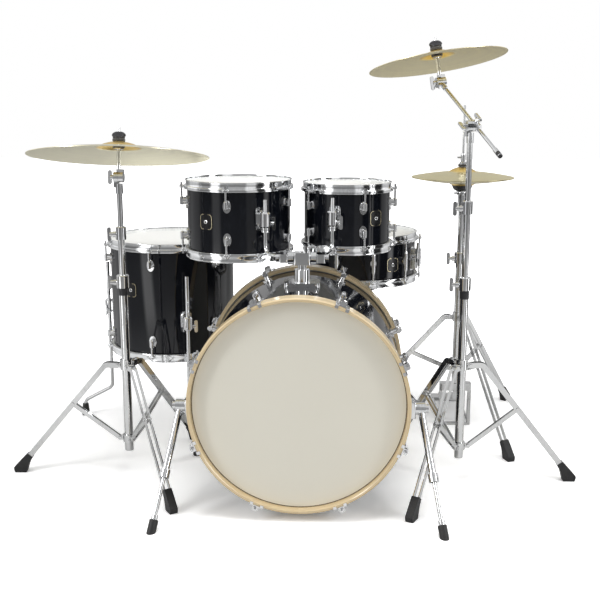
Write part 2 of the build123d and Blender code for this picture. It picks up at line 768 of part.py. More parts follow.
# ---- Folding tripods: every leg is a pair of flat bars, braced by a pair of struts ----
def flat_bars(path, size, inner, holes):
    """Two flat bars side by side along a path in XZ, each with an eye at both ends' pivots."""
    height, thickness = size
    with BuildPart() as piece:
        with BuildSketch(Plane.XZ.offset(inner)):
            with BuildLine():
                if len(path) > 2:
                    FilletPolyline(*path, radius=leg_bend)
                else:
                    Polyline(*path)
            trace(line_width=height)
            with Locations(*[hole for hole in holes if hole in path]):
                Circle(height / 2)
            with Locations(*holes):
                Circle(pin_radius + slip, mode=Mode.SUBTRACT)
        extrude(amount=thickness)
        mirror(about=Plane.XZ)
    return piece.part


def pivot_pin(place, half):
    """A riveted pin along Y at a place in the XZ plane."""
    x, z = place
    with BuildPart() as piece:
        add(bar((x, -half - 2.5, z), (x, half + 2.5, z), pin_radius))
        add(bar((x, -half - 2.5, z), (x, -half - gap, z), pin_radius + 2.5))
        add(bar((x, half + gap, z), (x, half + 2.5, z), pin_radius + 2.5))
    return piece.part


def casting(tube, height, half, drop):
    """A ring on the stand's tube with three ears for the pivots at z 0, the first toward +X."""
    with BuildPart() as ear:
        with BuildSketch(Plane.XZ.offset(-half)):
            with Locations((casting_reach, 0)):
                Circle(7)
            with Locations((casting_reach / 2 + 4, 0)):
                Rectangle(casting_reach - 8, 14)
            with Locations((casting_reach, 0)):
                Circle(pin_radius + slip, mode=Mode.SUBTRACT)
        extrude(amount=2 * half)
    with BuildPart() as piece:
        add(around(ear.part, 3, 0))
        with BuildSketch(Plane.XY.offset(-drop)):
            Circle(tube + 5)
        extrude(amount=height)
        Cylinder(tube + slip, 4 * height, mode=Mode.SUBTRACT)
    return piece.part


def leg_line(top_z, reach):
    """A leg's bend, bar end and toe in XZ."""
    shoulder = (reach[0], top_z + leg_rise)
    toe = (reach[1], leg_end_z)
    way = Vector(toe[0] - shoulder[0], toe[1] - shoulder[1])
    short = way * (1 - boot_length / way.length)
    end = (shoulder[0] + short.X, shoulder[1] + short.Y)
    return shoulder, end, toe


def tripod(place, first, tube, bore, tube_span, heights, reach, share):
    """A stand's lower tube, two castings, three double legs with their struts, and the pins."""
    top_z, low_z = heights
    top = (casting_reach, top_z)
    low = (casting_reach, low_z)
    shoulder, end, toe = leg_line(top_z, reach)
    fall = (shoulder[1] - toe[1]) / (toe[0] - shoulder[0])
    knee_x = casting_reach + share * (toe[0] - casting_reach)
    knee = (knee_x, shoulder[1] - (knee_x - shoulder[0]) * fall)
    strut_inner = leg_half_gap - strut_bar[1] - gap
    with BuildPart() as limb:
        add(flat_bars((top, shoulder, end), leg_bar, leg_half_gap, (top, knee)))
        add(flat_bars((low, knee), strut_bar, strut_inner, (low, knee)))
        add(pivot_pin(top, leg_half_gap + leg_bar[1]))
        add(pivot_pin(low, strut_inner + strut_bar[1]))
        add(pivot_pin(knee, leg_half_gap + leg_bar[1]))
    with BuildPart() as piece:
        with Locations(place):
            add(around(limb.part, 3, first))
            add(bar((0, 0, tube_span[0]), (0, 0, tube_span[1]), tube, bore))
            with Locations((0, 0, top_z)):
                add(around(casting(tube, 30, leg_half_gap - gap, 12), 1, first))
            with Locations((0, 0, low_z)):
                add(around(casting(tube, 22, strut_inner - gap, 11), 1, first))
    return piece.part


def boots(place, first, reach, top_z):
    """The rubber feet at the ends of a tripod's legs, flared and flat on the floor."""
    shoulder, end, toe = leg_line(top_z, reach)
    way = (Vector(*toe) - Vector(*shoulder)).normalized()
    up = Vector(-way.Y, way.X)
    start = Vector(*end) + way * gap
    with BuildPart() as boot:
        with BuildSketch(Plane.XZ.offset(-boot_width / 2)):
            with BuildLine():
                Polyline(start + up * 9.5, start + up * 11.5 + way * 20, toe + up * 14 + way * 6,
                         (toe[0] + 14, 8), (toe[0] + 11, 0), (toe[0] - 22, 0),
                         start - up * 11.5 + way * 20, start - up * 9.5, close=True)
            make_face()
        extrude(amount=boot_width)
        fillet(boot.edges().filter_by(Axis.Y).group_by(Axis.Z)[-1], 5)
    return placed(around(boot.part, 3, first), place)


def cymbal(radius, bow, bell, bell_radius, sheet):
    """A cymbal with its rim at z 0: a bowed disc that rises to a bell with a hole."""
    hole = stalk_radius + 2.4
    with BuildPart() as piece:
        with BuildSketch(Plane.XZ):
            with BuildLine():
                for lift in (0, sheet):
                    ThreePointArc((radius, lift), (0.62 * radius, 0.63 * bow + lift),
                                  (bell_radius, bow + lift))
                    ThreePointArc((bell_radius, bow + lift),
                                  (0.6 * bell_radius, bow + 0.68 * bell + lift),
                                  (hole, bow + bell + lift))
                Line((hole, bow + bell), (hole, bow + bell + sheet))
                Line((radius, 0), (radius, sheet))
            make_face()
        revolve(axis=Axis.Z)
    return piece.part


def ratchet_base(tube):
    """The fixed half of a tilter about X: a toothed disc at x < 0 on a neck, with the tube below."""
    with BuildPart() as piece:
        add(bar((-disc_width, 0, 0), (-gap, 0, 0), disc_radius))
        add(block((-disc_width, -7, -28), (-gap, 7, -6)))
        add(bar((0, 0, -46), (0, 0, -disc_radius - 3), tube + 2.5))
        add(bar((0, 0, -47), (0, 0, -22), tube + slip), mode=Mode.SUBTRACT)
        add(bar((-disc_width - 1, 0, 0), (0, 0, 0), screw_radius + slip), mode=Mode.SUBTRACT)
    return piece.part


def ratchet_screw():
    """The wing screw that locks a tilter, with its wings toward -X."""
    return placed(wing_screw(2 * disc_width - 1 + gap),
                  Location((disc_width - 1, 0, 0), (0, 0, 180)))


def tilter(bell_top, stem_top):
    """The moving half of a cymbal tilter: disc, stem and sleeve. Pivot at the origin, stem up."""
    with BuildPart() as piece:
        add(bar((0, 0, 0), (disc_width, 0, 0), disc_radius))
        add(block((-6, -7, disc_radius + gap), (disc_width, 7, disc_radius + 7)))
        add(block((0.5, -7, 8), (disc_width, 7, disc_radius + 1)))
        add(bar((-1, 0, 0), (disc_width + 1, 0, 0), screw_radius + slip), mode=Mode.SUBTRACT)
        add(bar((0, 0, disc_radius + 4), (0, 0, stem_top), stalk_radius))
        add(bar((0, 0, disc_radius + 6), (0, 0, stalk + bell_top - 18), stalk_radius + 2.5))
        add(bar((0, 0, stalk + bell_top - 20), (0, 0, stalk + bell_top - 17), 14))
        add(ratchet_screw())
    return piece.part


def cymbal_nut(bell_top, sheet):
    """Felt under the bell, felt above it and the wing nut, all on the stem."""
    bore = stalk_radius + slip
    low = stalk + bell_top
    top = low + sheet + gap
    with BuildPart() as piece:
        add(turned((bore, low - 16.9), (16, low - 16.9), (17, low - 15), (17, low - 3.5),
                   (10, low - felt_fit), (bore, low - felt_fit)))
        add(turned((bore, top), (14, top), (15, top + 2), (15, top + 9), (bore, top + 9)))
        add(turned((bore, top + 9 + gap), (10, top + 9 + gap), (12, top + 14), (8, top + 30),
                   (bore, top + 30)))
        with BuildSketch(Plane.XZ.offset(-4)):
            with Locations((0, top + 21)):
                RectangleRounded(40, 15, 5)
        extrude(amount=8)
        with Locations((0, 0, top + 20)):
            Cylinder(bore, 30, mode=Mode.SUBTRACT)
    return piece.part


# ---- Ride stand: two sliding tubes above the tripod, a tilter and a 20 inch cymbal ----
ride_bell_top = ride_bell[0] + ride_bell[1]
ride_place = (ride_x, ride_y, 0)


def top_clamp(place, outer, inner):
    """A tube's clamp with its wing screw toward -X."""
    return placed(around(tube_clamp(outer, inner), 1, 180), place)


with BuildPart() as ride_tripod:
    add(tripod(ride_place, ride_first_leg, lower_tube, lower_tube - tube_wall,
               (tube_bottom, ride_lower_top), (ride_top_casting, ride_low_casting),
               ride_reach, ride_strut_share))
    add(top_clamp((ride_x, ride_y, ride_lower_top), lower_tube, mid_tube))
write(ride_tripod.part, "ride_tripod")

with BuildPart() as ride_mid:
    add(bar((ride_x, ride_y, ride_lower_top - overlap), (ride_x, ride_y, ride_mid_top), mid_tube,
            mid_bore))
    add(top_clamp((ride_x, ride_y, ride_mid_top), mid_tube, upper_tube))
write(ride_mid.part, "ride_mid_tube")

ride_pivot = (ride_x, ride_y, ride_tilter_z)
with BuildPart() as ride_upper:
    add(bar((ride_x, ride_y, ride_mid_top - overlap), (ride_x, ride_y, ride_tilter_z - 22.5),
            upper_tube))
    with Locations(ride_pivot):
        add(ratchet_base(upper_tube))
write(ride_upper.part, "ride_upper_tube")

ride_up = Vector(0, sin(radians(ride_tilt)), cos(radians(ride_tilt)))
ride_frame = Plane(origin=ride_pivot, x_dir=(1, 0, 0), z_dir=ride_up).location
stem_top = stalk + ride_bell_top + 42
write(placed(tilter(ride_bell_top, stem_top), ride_frame), "ride_tilter")
write(placed(cymbal_nut(ride_bell_top, cymbal_sheet), ride_frame), "ride_cymbal_nut")
write(placed(placed(cymbal(ride_radius, *ride_bell, cymbal_sheet), (0, 0, stalk)), ride_frame),
      "ride_cymbal")

# ---- Crash stand: as the ride's, with a boom arm clamped across its top ----
crash_bell_top = crash_bell[0] + crash_bell[1]
crash_place = (crash_x, crash_y, 0)
with BuildPart() as crash_tripod:
    add(tripod(crash_place, crash_first_leg, lower_tube, lower_tube - tube_wall,
               (tube_bottom, crash_lower_top), (crash_top_casting, crash_low_casting),
               crash_reach, crash_strut_share))
    add(top_clamp((crash_x, crash_y, crash_lower_top), lower_tube, mid_tube))
write(crash_tripod.part, "crash_tripod")

with BuildPart() as crash_mid:
    add(bar((crash_x, crash_y, crash_lower_top - overlap), (crash_x, crash_y, crash_mid_top),
            mid_tube, mid_bore))
    add(top_clamp((crash_x, crash_y, crash_mid_top), mid_tube, upper_tube))
write(crash_mid.part, "crash_mid_tube")

boom = boom_way.normalized()
clamp_axis = boom.cross(Vector(0, 0, 1)).normalized()
clamp_pivot = Vector(crash_x, crash_y, boom_z)
clamp_base = Plane(origin=clamp_pivot, x_dir=clamp_axis, z_dir=(0, 0, 1)).location
clamp_frame = Plane(origin=clamp_pivot, x_dir=clamp_axis, z_dir=boom).location
with BuildPart() as crash_upper:
    add(bar((crash_x, crash_y, crash_mid_top - overlap), (crash_x, crash_y, boom_z - 22.5),
            upper_tube))
    with Locations(clamp_base):
        add(ratchet_base(upper_tube))
write(crash_upper.part, "crash_upper_tube")

with BuildPart() as boom_clamp:
    add(bar((0, 0, 0), (disc_width - 2, 0, 0), disc_radius))
    add(block((disc_width - 3, -11, -16), (boom_offset + 9, 11, 16), 4))
    add(bar((boom_offset, 0, -20), (boom_offset, 0, 20), boom_radius + slip), mode=Mode.SUBTRACT)
    add(bar((-1, 0, 0), (6, 0, 0), screw_radius + slip), mode=Mode.SUBTRACT)
    add(bar((boom_offset, 0, 0), (boom_offset, -12, 0), screw_radius + slip), mode=Mode.SUBTRACT)
    add(placed(wing_screw(disc_width + 5 + gap), Location((5, 0, 0), (0, 0, 180))))
    with Locations(Location((boom_offset, -boom_radius - gap, 0), (0, 0, -90))):
        add(wing_screw(9))
write(placed(boom_clamp.part, clamp_frame), "boom_clamp")

boom_middle = clamp_pivot + clamp_axis * boom_offset
boom_end = boom_middle + boom * boom_above
boom_tip = boom_middle - boom * boom_below
crash_axis = boom.cross(crash_up).normalized()
crash_frame = Plane(origin=boom_end, x_dir=crash_axis, z_dir=crash_up).location
with BuildPart() as boom_arm:
    add(bar(boom_tip + boom * 34, boom_end - boom * 22.5, boom_radius))
    add(bar(boom_tip, boom_tip + boom * 33.9, boom_radius + 1.5))
    with Locations(Plane(origin=boom_end, x_dir=crash_axis, z_dir=boom).location):
        add(ratchet_base(boom_radius))
write(boom_arm.part, "boom_arm")

stem_top = stalk + crash_bell_top + 42
write(placed(tilter(crash_bell_top, stem_top), crash_frame), "crash_tilter")
write(placed(cymbal_nut(crash_bell_top, cymbal_sheet), crash_frame), "crash_cymbal_nut")
write(placed(placed(cymbal(crash_radius, *crash_bell, cymbal_sheet), (0, 0, stalk)), crash_frame),
      "crash_cymbal")

# ---- Hi-hat: tripod with the pedal's frame, upper tube with the seat, pull rod, two cymbals ----
hihat_place = (hihat_x, hihat_y, 0)
hihat_bell_top = hihat_bell[0] + hihat_bell[1]
yoke_z = frame_top - 26
heel_front = heel_y - 8
with BuildPart() as pedal_yoke:
    with BuildSketch(Plane.XY.offset(yoke_z)):
        RectangleRounded(2 * frame_half + 10, 34, 8)
    extrude(amount=24)
    Cylinder(lower_tube + slip, 3 * frame_top, mode=Mode.SUBTRACT)
    for side in (-1, 1):
        post = side * frame_half
        add(block((post - 5, -12, 0), (post + 5, 12, yoke_z - slip)))
        add(bar((post, 12 + slip, 8), (post, heel_front - slip, 8), 4))
    add(block((5 + slip - frame_half, -16, 0), (frame_half - 5 - slip, -6, 10)))
    add(block((-frame_half - 5, heel_front, 0), (frame_half + 5, heel_y + 42, 12)))
    add(block((-18, heel_y - 7, 12 + slip), (18, heel_y + 10, heel_z - 4)))
    add(bar((-18, heel_y, heel_z), (18, heel_y, heel_z), 7))
    add(bar((-30, heel_y, heel_z), (30, heel_y, heel_z), pin_radius))
with BuildPart() as hihat_tripod:
    add(tripod(hihat_place, hihat_first_leg, lower_tube, lower_tube - tube_wall,
               (hihat_tube_bottom, hihat_lower_top), (hihat_top_casting, hihat_low_casting),
               hihat_reach, hihat_strut_share))
    add(top_clamp((hihat_x, hihat_y, hihat_lower_top), lower_tube, mid_tube))
    with Locations(hihat_place):
        add(pedal_yoke.part)
write(hihat_tripod.part, "hihat_tripod")

seat_top = hihat_rim_z - 2 * gap - hihat_bell_top - cymbal_sheet
with BuildPart() as hihat_upper:
    with Locations(hihat_place):
        add(bar((0, 0, hihat_lower_top - overlap), (0, 0, seat_top - 22), mid_tube, pull_rod + 1))
        add(turned((mid_tube + slip, seat_top - 60), (mid_tube + 4, seat_top - 60),
                   (mid_tube + 4, seat_top - 24), (26, seat_top - 20), (26, seat_top - 16),
                   (pull_rod + 1, seat_top - 16), (pull_rod + 1, seat_top - 22 + slip),
                   (mid_tube + slip, seat_top - 22 + slip)))
        add(turned((pull_rod + 1, seat_top - 16 + slip), (18, seat_top - 16 + slip),
                   (19, seat_top - 4), (14, seat_top), (pull_rod + 1, seat_top)))
write(hihat_upper.part, "hihat_upper_tube")

hat = cymbal(hihat_radius, *hihat_bell, cymbal_sheet)
write(placed(hat, Location((hihat_x, hihat_y, hihat_rim_z - gap), (180, 0, 0))),
      "hihat_bottom_cymbal")
write(placed(hat, (hihat_x, hihat_y, hihat_rim_z + gap)), "hihat_top_cymbal")

clutch_low = hihat_rim_z + gap + hihat_bell_top
clutch_high = clutch_low + cymbal_sheet + gap
strap_bottom = toe_z + 6.5
with BuildPart() as hihat_rod:
    with Locations(hihat_place):
        add(bar((0, 0, strap_bottom + 40), (0, 0, pull_rod_top), pull_rod))
        add(block((-6, -1.5, strap_bottom), (6, 1.5, strap_bottom + 41)))
        add(turned((pull_rod + slip, clutch_low - 12), (12, clutch_low - 12), (14, clutch_low - 9),
                   (14, clutch_low - 3), (9, clutch_low - felt_fit),
                   (pull_rod + slip, clutch_low - felt_fit)))
        add(turned((pull_rod + slip, clutch_high), (15, clutch_high), (15, clutch_high + 9),
                   (pull_rod + slip, clutch_high + 9)))
        add(turned((pull_rod + slip, clutch_high + 9 + gap), (12, clutch_high + 9 + gap),
                   (12, clutch_high + 14), (8, clutch_high + 16), (8, clutch_top - 4),
                   (7, clutch_top), (pull_rod + slip, clutch_top)))
        with Locations(Location((0, 0, clutch_top - 12), (0, 0, 180))):
            add(bar((6, 0, 0), (14, 0, 0), 3))
            add(block((13, -9, -2), (18, 9, 2)))
write(hihat_rod.part, "hihat_pull_rod")


def footboard(half, heel, toe, pin_z, toe_height):
    """A pedal's plate, hinged on a pin along X at the heel, rising toward the toe."""
    start = (0, heel, pin_z)
    run = Vector(0, toe - heel, toe_height - pin_z)
    length = run.length
    with BuildPart() as piece:
        with BuildSketch(Plane(origin=start, x_dir=run, z_dir=(0, run.Z, -run.Y))):
            with BuildLine():
                Polyline((11, -0.8 * half), (0.55 * length, -half), (length - 25, -half),
                         (length, -0.4 * half), (length, 0.4 * half), (length - 25, half),
                         (0.55 * length, half), (11, 0.8 * half), close=True)
            make_face()
        extrude(amount=5)
        for side in (-1, 1):
            add(block((side * 24 - 4, heel - 18, pin_z - 5), (side * 24 + 4, heel + 7, pin_z + 7)))
        add(bar((-40, heel, pin_z), (40, heel, pin_z), pin_radius + slip), mode=Mode.SUBTRACT)
    return piece.part


write(placed(footboard(38, heel_y, -6, heel_z, toe_z), hihat_place), "hihat_footboard")

# ---- Snare stand: low tripod, and a basket of three arms under the drum ----
snare_stand = (snare_x, snare_y, 0)
with BuildPart() as snare_tripod:
    add(tripod(snare_stand, snare_first_leg, lower_tube, lower_tube - tube_wall,
               (snare_low_casting - 15, snare_lower_top), (snare_top_casting, snare_low_casting),
               snare_reach, snare_strut_share))
    add(placed(around(tube_clamp(lower_tube, mid_tube), 1, 90),
               (snare_x, snare_y, snare_lower_top)))
write(snare_tripod.part, "snare_tripod")

snare_bottom = snare_z - snare_depth / 2 - hoop_rise
cradle = snare_radius + hoop_flange
with BuildPart() as basket_arm:
    with BuildSketch(Plane.XZ.offset(-5)):
        with BuildLine():
            Polyline((20, basket_z - 6), (cradle - 20, snare_bottom - 24),
                     (cradle + 16, snare_bottom - 10), (cradle + 16, snare_bottom + 24),
                     (cradle + 2, snare_bottom + 24), (cradle + 2, snare_bottom - gap),
                     (cradle - 14, snare_bottom - gap), (cradle - 24, snare_bottom - 12),
                     (20, basket_z + 6), close=True)
        make_face()
    extrude(amount=10)
with BuildPart() as basket:
    with Locations(snare_stand):
        add(bar((0, 0, snare_lower_top - overlap), (0, 0, basket_z - 30), mid_tube,
                mid_tube - tube_wall))
        add(turned((0, basket_z - 29.9), (16, basket_z - 29.9), (24, basket_z - 10),
                   (24, basket_z + 8), (18, basket_z + 12), (0, basket_z + 12)))
        add(around(basket_arm.part, 3, basket_first))
        add(turned((mid_tube + slip, basket_z - 52), (mid_tube + 6, basket_z - 52),
                   (mid_tube + 6, basket_z - 30.1), (mid_tube + slip, basket_z - 30.1)))
write(basket.part, "snare_basket")

# ---- Rubber feet of the four tripods and the floor tom ----
with BuildPart() as rubber_feet:
    add(floor_boots)
    add(boots(ride_place, ride_first_leg, ride_reach, ride_top_casting))
    add(boots(crash_place, crash_first_leg, crash_reach, crash_top_casting))
    add(boots(hihat_place, hihat_first_leg, hihat_reach, hihat_top_casting))
    add(boots(snare_stand, snare_first_leg, snare_reach, snare_top_casting))
write(rubber_feet.part, "rubber_feet")

# ---- Bass pedal, clamped to the rear hoop; its frame stands behind the hoop ----
hoop_back_y = bass_front_y + bass_length + 2 * bass_hoop_overhang
hoop_bottom = bass_axis_z - hoop_outer
pedal_axle = (bass_x, hoop_back_y + pedal_gap, pedal_axle_z)
jaw_z = hoop_bottom + bass_hoop_wall + 1.0
with BuildPart() as pedal_frame:
    with Locations((pedal_axle[0], pedal_axle[1], 0)):
        add(block((-post_half - 6, -26, 0), (post_half + 6, 26, 9), 4))
        add(block((-24, -52, 0), (24, -20, 9)))
        for side in (-1, 1):
            add(block((side * post_half - 5, -10, 8), (side * post_half + 5, 10, pedal_axle[2] + 12)))
            add(bar((side * rod_half, 26 + slip, 5), (side * rod_half, pedal_heel - 8 - slip, 5), 4))
        add(block((-post_half - 6, pedal_heel - 8, 0), (post_half + 6, pedal_heel + 40, 12)))
        add(block((-18, pedal_heel - 7, 12 + slip), (18, pedal_heel + 10, heel_z - 4)))
        add(bar((-18, pedal_heel, heel_z), (18, pedal_heel, heel_z), 7))
        add(bar((-30, pedal_heel, heel_z), (30, pedal_heel, heel_z), pin_radius))
        add(bar((-post_half - 9, 0, pedal_axle[2]), (post_half + 9, 0, pedal_axle[2]), 4 + slip),
            mode=Mode.SUBTRACT)
        add(block((-20, -82, 9), (20, -50, hoop_bottom - gap)))
        add(block((-16, -82, jaw_z), (16, -44, jaw_z + 8), 3))
        add(bar((0, -52, hoop_bottom - 4), (0, -52, jaw_z + 14), 4))
write(pedal_frame.part, "pedal_frame")
write(placed(footboard(38, pedal_heel, 6, heel_z, pedal_toe_z), (bass_x, pedal_axle[1], 0)),
      "pedal_footboard")

lean = radians(beater_rest)
beater_way = Vector(0, sin(lean), cos(lean))
with BuildPart() as beater:
    with Locations(pedal_axle):
        add(bar((-post_half - 8, 0, 0), (post_half + 8, 0, 0), 4))
        add(bar((-12, 0, 0), (12, 0, 0), 16))
        add(bar(beater_way * 10, beater_way * beater_reach, 4))
        add(bar(beater_way * beater_reach + Vector(-20, 0, 0),
                beater_way * beater_reach + Vector(20, 0, 0), beater_radius))
        add(block((-3, 8, -80), (3, 11, -10)))
write(beater.part, "pedal_beater")
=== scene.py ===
import bpy
import bmesh
import json
from math import atan2, cos, pi, radians, sin, sqrt
from mathutils import Matrix, Vector


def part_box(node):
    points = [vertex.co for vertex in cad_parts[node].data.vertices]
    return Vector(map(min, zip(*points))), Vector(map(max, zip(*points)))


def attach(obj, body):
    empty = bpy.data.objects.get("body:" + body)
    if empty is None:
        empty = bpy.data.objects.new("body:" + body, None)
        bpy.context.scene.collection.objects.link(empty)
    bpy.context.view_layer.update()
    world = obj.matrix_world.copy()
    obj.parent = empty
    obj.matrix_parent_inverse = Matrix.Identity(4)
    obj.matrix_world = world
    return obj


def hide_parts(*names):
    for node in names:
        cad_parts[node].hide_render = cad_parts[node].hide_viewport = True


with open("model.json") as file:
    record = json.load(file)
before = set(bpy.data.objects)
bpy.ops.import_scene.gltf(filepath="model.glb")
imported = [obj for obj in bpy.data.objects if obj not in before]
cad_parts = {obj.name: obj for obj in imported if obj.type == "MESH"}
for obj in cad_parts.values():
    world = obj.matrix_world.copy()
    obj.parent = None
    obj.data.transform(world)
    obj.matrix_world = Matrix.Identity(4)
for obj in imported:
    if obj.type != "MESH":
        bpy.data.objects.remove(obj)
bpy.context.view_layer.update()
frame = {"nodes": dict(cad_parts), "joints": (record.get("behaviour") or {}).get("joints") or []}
kit = frame["nodes"]
pivot = {joint["name"]: joint for joint in frame["joints"]}

# ---- Camera ----
# Stands in the audience a little to the right of the bass drum, at head height, and looks
# slightly down and to the left with a long lens.
lens = bpy.data.cameras.new("camera")
lens.lens = 57.6
lens.sensor_width = 36.0
camera = bpy.data.objects.new("camera", lens)
camera.location = (0.1437, -2.8721, 1.1103)
camera.rotation_euler = (radians(90 - 12.09), 0, radians(2.53))
bpy.context.scene.collection.objects.link(camera)
bpy.context.scene.camera = camera


# ---- Drum shells ----
# Ply shells under a gloss black wrap. The clear top layer is polished, with the faint waviness
# and the hazy wipe marks that such a wrap shows when light grazes it.
def node(tree, kind, **values):
    """A shader node; a value goes to the input of that name, a socket is linked to it."""
    made = tree.nodes.new(kind)
    for name, value in values.items():
        socket = name.replace("_", " ")
        if socket in made.inputs:
            if isinstance(value, bpy.types.NodeSocket):
                tree.links.new(value, made.inputs[socket])
            else:
                made.inputs[socket].default_value = value
        else:
            setattr(made, name, value)
    return made


def effect(name, inputs, outputs):
    """An empty shader node group with its named sockets, and its input and output nodes."""
    group = bpy.data.node_groups.new(name, "ShaderNodeTree")
    for label, kind, value in inputs:
        socket = group.interface.new_socket(label, in_out="INPUT", socket_type=kind)
        if value is not None:
            socket.default_value = value
    for label, kind in outputs:
        group.interface.new_socket(label, in_out="OUTPUT", socket_type=kind)
    return group, group.nodes.new("NodeGroupInput"), group.nodes.new("NodeGroupOutput")


def blended(tree, mask, first, second):
    """A colour that runs from the first to the second where the mask goes from 0 to 1."""
    mix = tree.nodes.new("ShaderNodeMix")
    mix.data_type = "RGBA"
    tree.links.new(mask, mix.inputs["Factor"])
    for socket, colour in ((mix.inputs[6], first), (mix.inputs[7], second)):
        if isinstance(colour, bpy.types.NodeSocket):
            tree.links.new(colour, socket)
        else:
            socket.default_value = (*colour, 1)
    return mix.outputs[2]


def spread(tree, value, low, high):
    """A 0 to 1 value mapped to run from low to high."""
    mapped = node(tree, "ShaderNodeMapRange", Value=value, To_Min=low, To_Max=high)
    return mapped.outputs["Result"]


def finish(name, colour, metal, rough, **sockets):
    """A material with its shader's uniform values set; returns it, its tree and its shader."""
    material = bpy.data.materials.new(name)
    material.use_nodes = True
    tree = material.node_tree
    shader = tree.nodes["Principled BSDF"]
    shader.inputs["Base Color"].default_value = (*colour, 1)
    shader.inputs["Metallic"].default_value = metal
    shader.inputs["Roughness"].default_value = rough
    for label, value in sockets.items():
        shader.inputs[label.replace("_", " ")].default_value = value
    return material, tree, shader


# Wipe marks: a slow cloud with fine streaks in it, as a cloth leaves on a polished surface.
wipe_marks, wipe_in, wipe_out = effect(
    "wipe_marks",
    (("Vector", "NodeSocketVector", None), ("Scale", "NodeSocketFloat", 6.0),
     ("Sharpness", "NodeSocketFloat", 0.25)),
    (("Marks", "NodeSocketFloat"),))
cloud = node(wipe_marks, "ShaderNodeTexNoise", Vector=wipe_in.outputs["Vector"],
             Scale=wipe_in.outputs["Scale"], Detail=5.0, Roughness=0.62, Distortion=0.8)
streak_scale = node(wipe_marks, "ShaderNodeVectorMath", operation="MULTIPLY")
wipe_marks.links.new(wipe_in.outputs["Vector"], streak_scale.inputs[0])
streak_scale.inputs[1].default_value = (30, 30, 7)
streaks = node(wipe_marks, "ShaderNodeTexNoise", Vector=streak_scale.outputs["Vector"],
               Scale=wipe_in.outputs["Scale"], Detail=3.0, Roughness=0.5)
both = node(wipe_marks, "ShaderNodeMath", operation="MULTIPLY")
wipe_marks.links.new(cloud.outputs["Fac"], both.inputs[0])
wipe_marks.links.new(streaks.outputs["Fac"], both.inputs[1])
edge = node(wipe_marks, "ShaderNodeMapRange", Value=both.outputs["Value"],
            From_Max=0.45, interpolation_type="SMOOTHSTEP")
wipe_marks.links.new(wipe_in.outputs["Sharpness"], edge.inputs["From Min"])
wipe_marks.links.new(edge.outputs["Result"], wipe_out.inputs["Marks"])

# Fine grain: close, even noise that gives a coated, cast or moulded surface its tooth.
fine_grain, grain_in, grain_out = effect(
    "fine_grain",
    (("Vector", "NodeSocketVector", None), ("Scale", "NodeSocketFloat", 600.0),
     ("Depth", "NodeSocketFloat", 0.0002), ("Normal", "NodeSocketVector", None)),
    (("Grain", "NodeSocketFloat"), ("Normal", "NodeSocketVector")))
tooth = node(fine_grain, "ShaderNodeTexNoise", Vector=grain_in.outputs["Vector"],
             Scale=grain_in.outputs["Scale"], Detail=4.0, Roughness=0.6)
press = node(fine_grain, "ShaderNodeBump", Strength=0.6, Distance=grain_in.outputs["Depth"],
             Height=tooth.outputs["Fac"])
fine_grain.links.new(tooth.outputs["Fac"], grain_out.inputs["Grain"])
fine_grain.links.new(press.outputs["Normal"], grain_out.inputs["Normal"])


def add_effect(tree, group, **values):
    """Places an effect in a material, with its own values."""
    placed = tree.nodes.new("ShaderNodeGroup")
    placed.node_tree = group
    for name, value in values.items():
        if isinstance(value, bpy.types.NodeSocket):
            tree.links.new(value, placed.inputs[name])
        else:
            placed.inputs[name].default_value = value
    return placed


def object_place(tree):
    return tree.nodes.new("ShaderNodeTexCoord").outputs["Object"]


def dress(material, *names):
    """Gives CAD nodes their finish."""
    for name in names:
        slots = kit[name].data.materials
        slots.clear()
        slots.append(material)


gloss_black, tree, shader = finish("gloss_black_wrap", (0.006, 0.007, 0.0105), 0.0, 0.1,
                                   IOR=1.47)
place = object_place(tree)
marks = add_effect(tree, wipe_marks, Vector=place, Scale=5.0, Sharpness=0.22)
tree.links.new(blended(tree, marks.outputs["Marks"], (0.0045, 0.0054, 0.0085),
                       (0.009, 0.0105, 0.015)), shader.inputs["Base Color"])
tree.links.new(spread(tree, marks.outputs["Marks"], 0.05, 0.13), shader.inputs["Roughness"])
wave = node(tree, "ShaderNodeTexNoise", Vector=place, Scale=9.0, Detail=1.0)
ripple = node(tree, "ShaderNodeBump", Strength=0.12, Distance=0.0006, Height=wave.outputs["Fac"])
tree.links.new(ripple.outputs["Normal"], shader.inputs["Normal"])
dress(gloss_black, "bass_shell", "tom12_shell", "tom10_shell", "floor_tom_shell", "snare_shell")


# ---- Chrome plate on hoops, lugs, tubes, legs and castings ----
# Steel tube, pressed flat bar and die-cast zinc, all bright chrome plated. Tubes are drawn, so
# they carry faint lines; castings have a slightly uneven skin; all hold some wipe marks.
def chrome_plate(name, tint, marks_scale, grain_scale, grain_depth, dull):
    """Bright chrome whose skin and marks suit one way of making the metal under it."""
    material, tree, shader = finish(name, tint, 1.0, 0.06)
    place = object_place(tree)
    marks = add_effect(tree, wipe_marks, Vector=place, Scale=marks_scale, Sharpness=0.2)
    grain = add_effect(tree, fine_grain, Vector=place, Scale=grain_scale, Depth=grain_depth)
    darker = tuple(part * 0.86 for part in tint)
    tree.links.new(blended(tree, marks.outputs["Marks"], tint, darker),
                   shader.inputs["Base Color"])
    tree.links.new(spread(tree, marks.outputs["Marks"], 0.05, dull), shader.inputs["Roughness"])
    tree.links.new(grain.outputs["Normal"], shader.inputs["Normal"])
    return material


